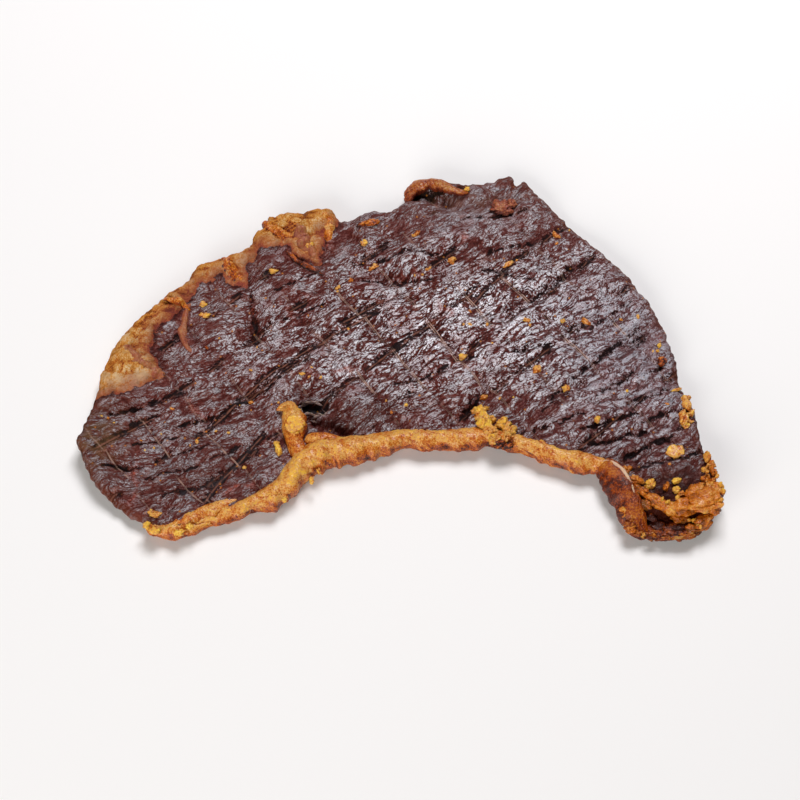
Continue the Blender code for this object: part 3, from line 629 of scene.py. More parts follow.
def driedBeef():
    # Air-dried beef, sliced along the fibres and dried on a rack: a skin of dried juices and a little fat
    # over dark muscle. To the eye: red-brown slopes, thin paler lines from the rack, and amber fat at one
    # edge.
    # The near-black maroon creases are painted shade, and the lilac-grey sheen with small near-white glints
    # on what faces the light is a painted highlight, over a real coat.
    material, tree, shader = newMaterial("air-dried beef", {
        "Specular IOR Level": 0.12, "Specular Tint": (1.0, 0.88, 0.94, 1.0), "Coat Roughness": 0.1})
    place = addNode(tree, "TexCoord", give="Object")
    inMm = addNode(tree, "VectorMath", (place, (1 / mm,) * 3), operation="MULTIPLY")
    hollow, facing, fat, crack, edgeGap, red, greaseAndSheen, olive, pocket, cleft, cream, sheenAndDarkPatches = [
        addNode(tree, "Attribute", give="Fac", attribute_name=name)
        for name in ("hollow", "facing", "fat", "crack", "edgeGap", "red", "greaseAndSheen", "olive", "pocket",
                     "cleft", "cream", "sheenAndDarkPatches")]
    fibres = addNode(tree, "Attribute", give="Vector", attribute_name="grain")
    grit, blotch, speck = [
        addNode(tree, "TexNoise", {"Vector": inMm, "Scale": scale, "Detail": detail, "Roughness": rough})
        for scale, detail, rough in ((2.4, 3, 0.5), (0.13, 4, 0.6), (0.45, 3, 0.6))]

    # places stretched along the fibres, by length and width in mm, and the noises on four of them
    wrinkles, cracks, streaks, dents, cells = [
        addNode(tree, "VectorMath", (fibres, (1 / length, 1 / width, 1)), operation="MULTIPLY")
        for length, width in ((2.8, 1.5), (6, 1.9), (4.5, 1.6), (1 / 1.8, 1 / 2.8), (1.1, 0.7))]
    wrinkle, uncracked, streak, pits = [
        addNode(tree, "TexNoise", {"Vector": stretched, "Scale": 1, "Detail": detail, "Roughness": rough,
                                   "Distortion": bent})
        for stretched, detail, rough, bent in ((wrinkles, 2, 0.5, 1.9), (cracks, 4, 0.5, 1.1),
                                               (streaks, 5, 0.65, 0.5), (dents, 2, 0.5, 0))]
    # fine wrinkles and thin cracks lie where their noise passes its middle value
    creases = []
    for noise, line, reach in ((wrinkle, 0.012, 0.06), (uncracked, 0.014, 0.042)):
        middle = addNode(tree, "Math", (noise, 0.5), operation="SUBTRACT")
        size = addNode(tree, "Math", (middle,), operation="ABSOLUTE")
        creases.append(addNode(tree, "MapRange", (size, line, reach), interpolation_type="SMOOTHSTEP"))
    wrinkle, uncracked = creases
    streak = addNode(tree, "MapRange", (streak, 0.34, 0.66))
    pits = addNode(tree, "MapRange", (pits, 0.41, 0.59))
    # between them plates with shaken edges
    shake = addNode(tree, "TexNoise", {"Vector": inMm, "Scale": 1.1, "Detail": 3}, give="Color")
    shaken = addNode(tree, "VectorMath", (shake, (2.4, 2.4, 0), cells), operation="MULTIPLY_ADD")
    plates = addNode(tree, "TexVoronoi", {"Vector": shaken, "Scale": 1}, feature="DISTANCE_TO_EDGE")
    crinkle = addNode(tree, "MapRange", (plates, 0.02, 0.18), interpolation_type="SMOOTHSTEP")

    # lines of the wires: a rosy band where the rising ones lay; pale ridges to each side of the falling
    # ones' middle, 0.08 mm from it at the dry end and 0.26 mm in the grease, with painted shade as a dark
    # line between them and as a wider dark band beside the rising ones
    def nearWire(family, centre, line, reach):
        side, press = [addNode(tree, "Attribute", give="Fac", attribute_name=name)
                       for name in (family, family + "Press")]
        away = addNode(tree, "Math", (side,), operation="ABSOLUTE")
        away = addNode(tree, "Math", (away, centre), operation="SUBTRACT")
        away = addNode(tree, "Math", (away,), operation="ABSOLUTE")
        share = addNode(tree, "MapRange", (away, line, reach, 1, 0))
        return addNode(tree, "Math", (share, press), operation="MULTIPLY")
    worn = addNode(tree, "MapRange", (speck, 0.38, 0.52))
    apart = addNode(tree, "MapRange", (greaseAndSheen, 0, 1, 0.08, 0.26))
    rosy, pale = [addNode(tree, "Math", (line, worn), operation="MULTIPLY")
                  for line in (nearWire("rising", 0, 0.06, 0.3), nearWire("falling", apart, 0.05, 0.17))]
    dark, wireValleyShade = nearWire("falling", 0, 0.02, 0.14), nearWire("rising", 0, 0.3, 1.4)

    # how raised a point is, from 0 in a crease to 1 on a pillow, and the crease shading, from 1 on whole skin
    # down to 0.1 along wrinkles, cracks and plate edges; both paint shade into the creases
    raised = addNode(tree, "MapRange", (hollow, -0.34, 0.24))
    tone = addNode(tree, "Mix", (0.2, raised, streak))
    fine = addNode(tree, "Mix", (0.62, wrinkle, crinkle))
    closed = addNode(tree, "MapRange", (cleft, 0.04, 0.36, 0.06))
    creaseShading = fine
    for whole in (uncracked, closed):
        creaseShading = addNode(tree, "Math", (creaseShading, whole), operation="MULTIPLY")
    creaseShading = addNode(tree, "MapRange", (creaseShading, 0, 1, 0.1, 1))
    # painted sheen: a lilac-grey brightening on the pillows, most on slopes that rise towards the softbox
    # behind, in patches, and more where grease lies
    paintedSheen = addNode(tree, "MapRange", (blotch, 0.42, 0.58))
    level = addNode(tree, "MapRange", (facing, -0.34, 0.06))
    paintedSheen = addNode(tree, "Mix", (0.7, paintedSheen, level))
    paintedSheen = addNode(tree, "Mix", (0.15, paintedSheen, greaseAndSheen))
    paintedSheen = addNode(tree, "Math", (paintedSheen, 0.5, 0.28), operation="MULTIPLY_ADD")
    for part, share in ((sheenAndDarkPatches, 0.34), (greaseAndSheen, 0.2)):
        paintedSheen = addNode(tree, "Math", (part, share, paintedSheen), operation="MULTIPLY_ADD")
    depth = addNode(tree, "Math", (tone, 0.8, paintedSheen), operation="MULTIPLY_ADD")
    for part in (creaseShading, addNode(tree, "MapRange", (pits, 0, 1, 0.58, 1.5))):
        depth = addNode(tree, "Math", (depth, part), operation="MULTIPLY")
    # painted shade: cracks, the groove of each falling wire and a wider band beside each rising wire darken
    # the tone
    for part, share in ((crack, -0.9), (dark, -0.3), (wireValleyShade, -0.7)):
        depth = addNode(tree, "Math", (part, share, depth), operation="MULTIPLY_ADD")
    # stronger contrast about 0.4 of tone, painted shade and painted sheen on the pillows where grease lies
    # than at the dry left end
    spread = addNode(tree, "MapRange", (greaseAndSheen, 0, 1, 0.84, 1.26))
    toneAndPaintedLight = addNode(tree, "Math", (depth, 0.4), operation="SUBTRACT")
    toneAndPaintedLight = addNode(tree, "Math", (toneAndPaintedLight, spread, 0.44), operation="MULTIPLY_ADD")
    # the ramp runs from near-black painted shade in creases and cracks through red-brown to the lilac-grey
    # painted sheen and near-white painted glints, which the fine pits break into grains
    meat = addNode(tree, "ValToRGB", (toneAndPaintedLight,), stops=[
        (0, "#140403"), (0.11, "#3c110a"), (0.24, "#66231a"), (0.38, "#723e36"), (0.52, "#826866"),
        (0.68, "#9a8e94"), (0.82, "#c4bec6"), (0.94, "#fbf9ff")])

    # where no grease lies the painted sheen is toned down to an even mauve, and where the sheen patches lie a
    # grey painted sheen covers the lit parts; between them the muscle shows warm brown, or slate where it
    # dried first; then redder blotches, reddish strings and faded olive ends
    lit = addNode(tree, "MapRange", (toneAndPaintedLight, 0.14, 0.5))
    even, warmer, cooler, redder = [
        addNode(tree, "Math", (addNode(tree, "MapRange", mapped), other), operation="MULTIPLY")
        for mapped, other in (((greaseAndSheen, 0, 1, 0.66, 0), lit), ((speck, 0.53, 0.66, 0, 0.46), creaseShading),
                              ((speck, 0.46, 0.34, 0, 0.5), creaseShading), ((blotch, 0.52, 0.66, 0, 0.4), depth))]
    veined, faded = [
        addNode(tree, "Math", (place, addNode(tree, "MapRange", (speck, *span))), operation="MULTIPLY")
        for place, span in ((red, (0.34, 0.56)), (olive, (0.36, 0.6)))]
    veined = addNode(tree, "Math", (veined, creaseShading), operation="MULTIPLY")
    greySheen = addNode(tree, "Math", (sheenAndDarkPatches, toneAndPaintedLight), operation="MULTIPLY")
    greySheen = addNode(tree, "Math", (greySheen, 0.7), operation="MULTIPLY")
    # darker patches where the sheen mound is negative
    darkPatch = addNode(tree, "MapRange", (sheenAndDarkPatches, 0, -1, 0, 0.66))
    rind = addNode(tree, "MapRange", (edgeGap, 0.2, 2.2, 0.6, 0))
    rosier = addNode(tree, "Math", (rosy, 0.65), operation="MULTIPLY")
    greased = addNode(tree, "MapRange", (greaseAndSheen, 0, 1, 0.7, 1))
    paler = addNode(tree, "Math", (pale, greased), operation="MULTIPLY")
    # flecks of fat, 0.5 mm across, in a few of the cells of a 2.6 mm Voronoi pattern
    near = addNode(tree, "TexVoronoi", {"Vector": inMm, "Scale": 1 / 2.6})
    chosen = addNode(tree, "MapRange", (near.node.outputs["Color"], 0.52, 0.6))
    near = addNode(tree, "MapRange", (near, 0.06, 0.14, 1, 0))
    flecked = addNode(tree, "Math", (near, chosen), operation="MULTIPLY")
    # fat and sinew lie along the back of the left end, with painted shade as a dark line before them, along
    # the groove where the meat meets the fat
    ragged = addNode(tree, "Math", (speck, 3.4, fat), operation="MULTIPLY_ADD")
    inFat = addNode(tree, "MapRange", (ragged, 1.45, 1.75), interpolation_type="SMOOTHSTEP")
    shaded = addNode(tree, "MapRange", (ragged, 0.4, 1.3, 0, 0.5))
    for share, tint in ((even, "#746362"), (greySheen, "#a09ea8"), (darkPatch, "#2e150f"), (warmer, "#90462a"),
                        (cooler, "#565256"), (redder, "#741408"), (veined, "#9c3a1e"), (faded, "#6a4c30"),
                        (rind, "#6a3018"), (rosier, "#9a6452"), (paler, "#cca694"), (flecked, "#b8702c"),
                        (shaded, "#1c0806")):
        meat = addNode(tree, "Mix", (share, meat, linear(tint)), data_type="RGBA")

    # the fat's colours, darker in its hollows as painted shade, golden at the edge and stained away from the
    # meat
    mixed = addNode(tree, "Mix", (0.4, speck, raised))
    for part, share in ((blotch, 1.6), (cream, 0.3), (grit, 1.3), (fine, 0.2)):
        mixed = addNode(tree, "Math", (part, share, mixed), operation="MULTIPLY_ADD")
    mixed = addNode(tree, "Math", (mixed, 1.66), operation="SUBTRACT")
    sinew = addNode(tree, "ValToRGB", (mixed,), stops=[
        (0.06, "#521a0c"), (0.2, "#90441a"), (0.36, "#b86c2c"), (0.54, "#ca8a3c"), (0.72, "#d4a05c"),
        (0.9, "#dcba8c")])
    golden = addNode(tree, "MapRange", (edgeGap, 0.5, 4.5, 0.75, 0))
    golden = addNode(tree, "Math", (golden, speck), operation="MULTIPLY")
    stained = addNode(tree, "MapRange", (ragged, 1.6, 6.5, 0.8, 0))
    for share, tint in ((golden, "#c47614"), (stained, "#94483a")):
        sinew = addNode(tree, "Mix", (share, sinew, linear(tint)), data_type="RGBA")
    colour = addNode(tree, "Mix", (inFat, meat, sinew), data_type="RGBA")
    # painted shade: the corner pocket, and a patch spreading from it, turn dark brown
    inPocket = addNode(tree, "Math", (pocket, 0.95), operation="MULTIPLY")
    colour = addNode(tree, "Mix", (inPocket, colour, linear("#421404")), data_type="RGBA")
    tree.links.new(colour, shader.inputs["Base Color"])

    # the coat follows the tone and painted sheen and shines most on the pillows where grease lies, least at
    # the left end and not in the pocket
    dull = addNode(tree, "MapRange", (greaseAndSheen, 0, 1, 0.42, 0.3))
    for part, share in ((grit, 0.08), (inFat, 0.2)):
        dull = addNode(tree, "Math", (part, share, dull), operation="MULTIPLY_ADD")
    tree.links.new(dull, shader.inputs["Roughness"])
    coated = addNode(tree, "MapRange", (toneAndPaintedLight, 0.2, 0.7))
    for source, least, most in ((greaseAndSheen, 0.06, 1), (pocket, 1, 0)):
        share = addNode(tree, "MapRange", (source, 0, 1, least, most))
        coated = addNode(tree, "Math", (coated, share), operation="MULTIPLY")
    tree.links.new(coated, shader.inputs["Coat Weight"])

    # heights in millimetres, the first five lower in the fat; grit is 0.035 high on the meat, 0.16 in the fat
    high = addNode(tree, "Math", (wrinkle, 0.07), operation="MULTIPLY")
    for part, height in ((crinkle, 0.06), (pits, 0.04), (uncracked, 0.1), (closed, 0.1)):
        high = addNode(tree, "Math", (part, height, high), operation="MULTIPLY_ADD")
    calmer = addNode(tree, "MapRange", (inFat, 0, 1, 1, 0.7))
    high = addNode(tree, "Math", (high, calmer), operation="MULTIPLY")
    rougher = addNode(tree, "MapRange", (inFat, 0, 1, 0.035, 0.16))
    rougher = addNode(tree, "Math", (grit, rougher), operation="MULTIPLY")
    high = addNode(tree, "Math", (rougher, high), operation="ADD")
    for part, height in ((pale, 0.08), (rosy, 0.1), (dark, -0.1)):
        high = addNode(tree, "Math", (part, height, high), operation="MULTIPLY_ADD")
    bump = addNode(tree, "Bump", {"Height": high, "Strength": 1, "Distance": mm})
    for label in ("Normal", "Coat Normal"):
        tree.links.new(bump, shader.inputs[label])
    return material


makeLean(driedBeef())


# Rims and folds of fat. Each route point is x, y, half width, height of the middle above the underside,
# and tone, from 0 for pale straw over 0.5 for amber to 1 for dark brown
fatSkin = {
    "taller": 0.95, "clear": 0.35, "roundEnd": 1.4,
    "lobes": (0.5, 4.4),                       # how far the front bulges in half widths, length of a lobe
    # the darker tone on the front's lower side is painted shade
    "lower": (0.36, 0.0, 0.95),                # how much darker the front's lower side is, its start and end
    "fold": (0.3, 8.5, 1.6, 0.38),             # crease depth, spacing, slant, half width
    "knob": (0.2, 2.7), "crust": (0.16, 1.1), "grit": (0.1, 0.5),      # height, size
}
frontRim = {
    "seed": 18, "rings": 640, "sides": 68,
    "route": [
        (-61.5, -50.2, 1.2, 2.4, 0.34), (-57.6, -51, 1.9, 2.3, 0.34), (-52.4, -50.9, 2, 2.3, 0.34),
        (-45, -48.3, 1.9, 2.5, 0.32), (-38, -45.5, 2.2, 2.8, 0.32), (-32.5, -43.1, 2.8, 3, 0.36),
        (-28.2, -40.6, 3.5, 3.1, 0.3), (-25.6, -36.8, 3.4, 3.1, 0.22), (-22.8, -32.8, 3.5, 3.1, 0.28),
        (-18, -30.4, 3.7, 3.1, 0.3), (-12, -29.2, 3.3, 3.1, 0.34), (-5, -27.4, 2.8, 3, 0.34),
        (3, -26.4, 2.5, 3, 0.3), (12, -26.3, 2.5, 3, 0.34), (20, -25.8, 2.4, 3, 0.4),
        (27, -26.7, 2.4, 3, 0.36), (34, -29.2, 2.5, 3, 0.32), (42, -31.8, 2.4, 3.1, 0.32),
        (48, -33.4, 2.2, 3.3, 0.38), (52.6, -35, 1.9, 3.8, 0.42)],
}
innerStrand = {
    "seed": 23, "rings": 200, "sides": 40,
    "route": [
        (-58, -51, 0.8, 2.8, 0.4), (-54.2, -50, 1.3, 3.1, 0.38), (-50.6, -48.5, 1.6, 3.3, 0.34),
        (-46.6, -46.6, 1.7, 3.4, 0.32), (-43.4, -45.3, 1.6, 3.4, 0.3), (-41, -44.2, 1.3, 3.4, 0.28),
        (-38.6, -42.8, 0.6, 3.2, 0.3)],
}
topFold = {
    "seed": 26, "rings": 120, "sides": 40, "calm": 0.8,
    "route": [
        (-23.4, -27.8, 0.9, 4, 0.6), (-21.6, -27, 1.4, 4.3, 0.46), (-19.4, -26.7, 1.5, 4.4, 0.46),
        (-16.9, -26.9, 1.4, 4.3, 0.5), (-14.4, -27.4, 1.1, 4.1, 0.54), (-11.8, -27.6, 0.5, 3.8, 0.6)],
}
cornerLip = {
    "seed": 19, "rings": 240, "sides": 64, "calm": 0.8, "darker": 0.2, "leaning": 0.6,
    "route": [
        (49.6, -33.8, 1.4, 3.4, 0.46), (52, -36, 2.6, 3.9, 0.6), (53.9, -40.2, 3.1, 4, 0.78),
        (55.4, -44.6, 3.2, 3.6, 0.68), (57, -48.4, 3, 2.9, 0.62), (58.8, -51.2, 2.1, 2.1, 0.7),
        (61, -52.7, 1, 1.2, 0.74)],
}
# a thin crest along the top of the curl, its pale colour a painted highlight
curlCrest = {
    "seed": 24, "rings": 110, "sides": 28, "calm": 1.2,
    "route": [
        (50.6, -33.2, 0.35, 4.8, 0.3), (52.8, -34.4, 0.45, 6, 0.3), (54.8, -36.4, 0.5, 6.6, 0.3),
        (56.2, -39, 0.5, 6.7, 0.3), (57.2, -41.8, 0.4, 6.3, 0.3), (58, -44.4, 0.25, 5.4, 0.4)],
}
fatNub = {
    "seed": 21, "rings": 130, "sides": 64, "calm": 0.8,
    "route": [
        (-23.6, -32.2, 2.3, 3.1, 0.46), (-24.9, -28.9, 2.5, 3.7, 0.52), (-25.6, -26.2, 2.6, 4.2, 0.5),
        (-26.1, -23.4, 2.8, 4.4, 0.34), (-26.2, -21, 2.8, 4.4, 0.28), (-26.5, -19.4, 2.6, 4.4, 0.28),
        (-27.2, -18, 1.9, 4.4, 0.3), (-29, -17.8, 1, 4.3, 0.3), (-30.6, -18.6, 0.4, 4.2, 0.34)],
}
backFold = {
    "seed": 22, "rings": 160, "sides": 48, "calm": 1.7, "darker": 0.6, "leaning": -0.4,
    "route": [
        (2.6, 45.6, 0.8, 3, 0.7), (2.8, 48.2, 1.3, 3.5, 0.6), (4.6, 50.4, 1.6, 3.7, 0.5),
        (8, 51.6, 1.5, 3.9, 0.44), (11, 51.2, 1.3, 3.9, 0.42), (13.6, 50, 1.1, 3.6, 0.46),
        (16.2, 48.9, 0.9, 3.3, 0.5), (19, 48.6, 0.5, 3, 0.6)],
}
# Strings of sinew and tongues of fat over the back left
pinkStrings = [
    {"seed": 31, "above": -0.9, "rings": 80, "sides": 36, "calm": 1.3,
     "route": [
         (-70.6, 0.2, 0.8, 3.9, 0.4), (-67.6, -3, 1.5, 4, 0.4), (-64.5, -5.4, 1.7, 4.1, 0.36),
         (-61.9, -7.2, 1.5, 4.1, 0.34), (-59, -8.8, 0.7, 3.9, 0.4)]},
    {"seed": 32, "above": -0.3, "rings": 80, "sides": 30, "calm": 2.0,
     "route": [
         (-53.8, 13.4, 0.4, 3.8, 0.5), (-55, 10.4, 0.8, 4, 0.46), (-55.5, 7, 0.9, 4.1, 0.42),
         (-55.4, 3.6, 0.8, 4.1, 0.42), (-54.2, 0.2, 0.6, 4, 0.46), (-52.4, -2, 0.3, 3.8, 0.5)]},
    {"seed": 34, "above": -0.9, "rings": 90, "sides": 44, "calm": 1.4,
     "route": [
         (-27, 37.8, 0.9, 3.5, 0.5), (-25.6, 34.8, 1.6, 3.8, 0.4), (-24, 31.2, 1.9, 4, 0.38),
         (-22.4, 28.6, 1.4, 4, 0.42), (-21.4, 27, 0.6, 3.8, 0.5)]},
]
fatTongues = [
    {"seed": 33, "above": 0.1, "rings": 90, "sides": 24, "calm": 0.9,
     "route": [
         (-29.6, 29.4, 0.4, 3.8, 0.8), (-27, 27, 0.7, 4.2, 0.78), (-24.8, 25.2, 0.8, 4.2, 0.76),
         (-22.6, 23.6, 0.7, 4.2, 0.76), (-19.6, 21.6, 0.3, 3.9, 0.8)]},
    {"seed": 36, "above": -0.9, "rings": 90, "sides": 40, "calm": 1.3,
     "route": [
         (-46.6, 27, 1.2, 3.3, 0.5), (-44.2, 24, 1.9, 3.6, 0.54), (-42.2, 21.2, 1.8, 3.8, 0.56),
         (-40.2, 19, 0.9, 3.7, 0.5)]},
    {"seed": 37, "above": 0.2, "rings": 70, "sides": 28, "calm": 1.0,
     "route": [
         (-61, 13.4, 0.5, 3.8, 0.5), (-58.4, 13.4, 0.9, 4.1, 0.5), (-56.2, 12.4, 0.9, 4.1, 0.52),
         (-53.8, 10.8, 0.4, 3.9, 0.6)]},
    {"seed": 38, "above": -0.9, "rings": 90, "sides": 40, "calm": 1.3,
     "route": [
         (-36, 38.6, 0.8, 3, 0.54), (-33.4, 36.2, 1.6, 3.4, 0.52), (-30.4, 34, 1.7, 3.5, 0.54),
         (-27.4, 33.4, 1, 3.4, 0.46)]},
    {"seed": 39, "above": -0.9, "rings": 90, "sides": 40, "calm": 1.3,
     "route": [
         (-20.4, 41.4, 0.8, 3, 0.42), (-18.6, 38.4, 1.6, 3.3, 0.42), (-18.4, 35, 1.5, 3.5, 0.46),
         (-19, 32.2, 0.8, 3.6, 0.46)]},
]


def crusted(u, v, skin, seed):
    # Grains between the lines of a Voronoi pattern, size by size, in patches where a noise is high
    height, size = skin["crust"]
    grains = np.minimum(1, 2.2 * cellGap(u / size, v / size, seed)) - 0.6
    patchy = smoothStep(slopeNoise(u / 5, v / 5, seed + 2), -0.3, 0.35)
    return height * grains * (0.25 + 0.75 * patchy)


# a rim's darker share is painted shade on its lower front side
plainRim = {"calm": 1, "leaning": 0, "darker": fatSkin["lower"][0]}
plainLump = {"rings": 20, "sides": 36, "uneven": 0.34, "boxy": 0.9, "above": 0, "tilt": 0, "corners": 0,
             "grains": 2.2, "fine": 1}


def sweptRim(rim):
    # An ellipse carried along the route, upright to it: centre + half width * cos(a) sideways and
    # 0.95 * half width * sin(a) up; its front bulges into lobes by a noise along it. Along the ellipse's
    # own normal come a few slanted creases, -depth * exp(-(distance to the nearest crease)^2), knobs,
    # grains of crust and grit. The ends are rounded by sqrt(1 - (1 - d / r)^2), and nothing goes below
    # the surface that the slice lies on. A string with a rise of its own follows the top of the slice, and
    # a leaning rim is pushed sideways by its share of sin(a).
    rim = {**plainRim, **rim}
    curve = smoothCurve(rim["route"])
    length = np.linalg.norm(np.diff(curve[:, :2], axis=0), axis=1).sum()
    stops = atShares(curve, np.linspace(0, 1, rim["rings"]))
    centre, halfWidth, middle, tone = stops[:, :2], stops[:, 2:3], stops[:, 3:4], stops[:, 4:5]
    if "above" in rim:
        middle = (surfaceHeight(*centre.T) - lift(*centre.T))[:, None] + rim["above"]
    along = np.gradient(centre, axis=0)
    sideways = np.stack([-along[:, 1], along[:, 0]], axis=1) / np.linalg.norm(along, axis=1)[:, None]
    angle, walked = np.meshgrid(-np.linspace(0, 2 * np.pi, rim["sides"], endpoint=False),
                                np.linspace(0, length, rim["rings"]))
    cos, sin, seed = np.cos(angle), np.sin(angle), rim["seed"]
    bulge, lobeLength = fatSkin["lobes"]
    inFront = smoothStep(-cos, -0.5, 1.0)
    lobe = softNoise(walked / lobeLength, 0.7 * cos, seed)
    lobe = lobe + 0.5 * slopeNoise(walked / 2.1, 0.8 * cos, seed + 8)
    lobe *= rim["calm"]
    lump = 1 + bulge * lobe * (0.25 + 0.75 * inFront)
    near = np.minimum(walked, length - walked)
    end = np.sqrt(1 - (1 - np.clip(near / fatSkin["roundEnd"], 0.02, 1)) ** 2)
    u, v = walked + 1.7 * halfWidth * sin, 1.4 * halfWidth * cos
    depth, spacing, slant, creaseWidth = fatSkin["fold"]
    place = walked + slant * halfWidth * cos + 3.5 * slopeNoise(walked / 9, cos, seed + 1)
    away = np.abs(place % spacing - spacing / 2)
    strong = smoothStep(slopeNoise(walked / 7, 0.6 * cos + 7, seed + 2), -0.15, 0.4)
    skin = -depth * strong * np.exp(-(away / creaseWidth) ** 2) + crusted(u, v, fatSkin, seed + 6)
    for (height, size), k in zip((fatSkin["knob"], fatSkin["grit"]), (3, 5)):
        skin += height * slopeNoise(u / size, v / size, seed + k)
    skin *= rim["calm"] * np.minimum(1, 0.25 + 0.4 * halfWidth)
    radius = halfWidth * lump + skin
    across = radius * (cos + rim["leaning"] * np.maximum(sin, 0)) * end
    xy = centre[:, None, :] + across[..., None] * sideways[:, None, :]
    z = np.maximum(middle + fatSkin["taller"] * radius * sin * end, fatSkin["clear"] + 0.2 * skin)
    z += lift(centre[:, 0], centre[:, 1])[:, None]
    tips = np.dstack([xy, z])[[0, -1]].mean(axis=1)
    # painted shade: the tone darkens on the front's lower side and on the underside
    below = smoothStep(-0.87 * cos - 0.5 * sin, *fatSkin["lower"][1:])
    shade = tone + rim["darker"] * below + 0.1 * np.clip(-sin - 0.6, 0, 1)
    return np.dstack([xy, z]), tips, {
        "tone": shade, "hollow": skin - blurred(skin, 3),
        "grain": np.stack([walked + slant * halfWidth * cos, halfWidth * angle, seed + 0 * angle], axis=-1)}


def withTips(grid):
    # The values of a grid of rings, then those for its two closing points
    flat = grid.reshape(-1, *grid.shape[2:])
    return np.concatenate([flat, grid[:1].mean(axis=1), grid[-1:].mean(axis=1)])


def makeRims(name, rims, material):
    # All rims of one kind in one mesh
    grids, tips, values = zip(*[sweptRim(rim) for rim in rims])
    joined = {label: np.concatenate([withTips(v[label]) for v in values]) for label in values[0]}
    return makePiece(name, grids, tips, joined, material)


def lumpBalls(rows, kind):
    # Balls squeezed to half length, half width and half height and turned: sin(t)^boxy outwards and
    # cos(t)^boxy up, so that a low power gives flakes with steep sides, times 1 + uneven * noise of the
    # direction, and times cos(pi / n) / cos(angle past the last corner) for a flake with n corners. Each
    # rises a quarter of its half height over the top at its middle, or by as much more as its kind says,
    # and none goes below the floor.
    kind = {**plainLump, **kind}
    table = np.array(rows, float)
    x, y, halfLength, halfWidth, halfHeight, degrees, tone = table.T[:, :, None, None]
    least = lift(table[:, 0], table[:, 1]) + lean["thinnest"]
    floor = np.maximum(surfaceHeight(table[:, 0], table[:, 1]), least)[:, None, None]
    floor = floor + 0.25 * halfHeight + kind["above"]
    tilt = (np.pi * np.arange(1, kind["rings"]) / kind["rings"])[None, :, None]
    angle = (2 * np.pi * np.arange(kind["sides"]) / kind["sides"])[None, None, :]
    number = kind["index"] + np.arange(len(rows))[:, None, None]
    boxy, uneven = kind["boxy"], kind["uneven"]
    wide, high = np.sin(tilt) ** boxy, np.sign(np.cos(tilt)) * np.abs(np.cos(tilt)) ** boxy
    a, b = np.cos(angle) * wide, np.sin(angle) * wide
    grains, fine, corners = kind["grains"], kind["fine"], kind["corners"]
    crust = np.minimum(1, 2.0 * cellGap(grains * a + 3.3 * number, grains * (b + 0.8 * high), 94)) - 0.5
    bulge = 1 + uneven * (slopeNoise(1.1 * a + 7.3 * number, 1.1 * b + 0.9 * high, 91)
                          + 0.6 * slopeNoise(2.6 * a + 5.1 * number, 2.6 * b + 2.1 * high, 92)
                          + fine * (0.35 * slopeNoise(6 * a + 3.7 * number, 6 * b + 5 * high, 93)
                                     + 0.45 * crust))
    outline = 1.0
    if corners:
        past = (angle + number) % (2 * np.pi / corners) - np.pi / corners
        outline = np.cos(np.pi / corners) / np.cos(past)
    c, s = np.cos(np.radians(degrees)), np.sin(np.radians(degrees))
    along, across = halfLength * a * bulge * outline, halfWidth * b * bulge * outline
    raised = halfHeight * high * bulge + kind["tilt"] * (along * s + across * c)
    raised = np.maximum(floor + raised, 0.06)
    balls = np.stack([x + along * c - across * s, y + along * s + across * c, raised], axis=-1)
    top = np.stack([x, y, floor + halfHeight], axis=-1)[:, 0, 0]
    bottom = np.stack([x, y, np.maximum(floor - halfHeight, 0.03)], axis=-1)[:, 0, 0]
    # painted shade: the tone darkens where the surface dents inwards and on the lower half
    tones = tone + 0.3 * (1 - bulge) / uneven + 0.16 * (1 - high) + 0 * balls[..., 0]
    return balls, np.stack([top, bottom], axis=1), tones


def makeLumps(name, groups, material):
    # All lumps of one kind in one mesh
    grids, tips, tones, places = [], [], [], []
    for rows, kind in groups:
        balls, ends, tone = lumpBalls(rows, kind)
        for ball, end, shade in zip(balls, ends, tone):
            grids.append(ball)
            tips.append(end)
            tones.append(withTips(shade))
            places.append(withTips(ball))
    tones, places = np.concatenate(tones), np.concatenate(places)
    return makePiece(name, grids, tips, {"tone": tones, "hollow": 0 * tones, "grain": places}, material)


# Lumps: x, y, half length, half width, half height, turn in degrees, tone
fatClump = [
    (20.6, -19.8, 1.9, 1.4, 1.5, 70, 0.12), (21.6, -22.2, 2.3, 1.8, 1.8, 100, 0.08),
    (22.8, -25, 2.2, 1.8, 1.7, 120, 0.14), (24.2, -27.2, 1.7, 1.3, 1.5, 40, 0.2),
    (26.2, -22.9, 1.9, 1.5, 1.5, 30, 0.14), (27.4, -25.2, 2, 1.6, 1.6, 60, 0.2),
    (26.4, -26.8, 1.7, 1.3, 1.4, 140, 0.34), (19.4, -18.7, 1, 0.8, 0.9, 10, 0.2),
    (22.2, -18.4, 0.8, 0.6, 0.8, 10, 0.2), (23.4, -21.6, 1, 0.9, 1.1, 40, 0.2),
    (29, -24, 0.9, 0.8, 0.8, 30, 0.2), (25.2, -28.6, 1.5, 1.1, 1.2, 30, 0.75),
    (27.6, -28.9, 1.3, 0.9, 1, 20, 0.8), (28.4, -27, 0.9, 0.8, 0.8, 0, 0.5)]
nubDisc = [(-25.6, -24.2, 2.5, 2, 0.8, 20, 0.16)]
nubBits = [
    (-25.2, -19.8, 1, 0.5, 0.6, 60, 0.2), (-24, -22, 0.4, 1, 0.6, 0, 0.3),
    (-29, -18.4, 0.9, 0.5, 0.5, 20, 0.3), (-27.6, -20.6, 0.9, 0.5, 0.5, 60, 0.4),
    (-26.6, -22.6, 1.3, 0.4, 0.5, 24, 0.1), (-25, -26.2, 0.6, 0.3, 0.4, 20, 0),
    (-23.6, -24, 0.4, 0.9, 0.5, -10, 0.2)]
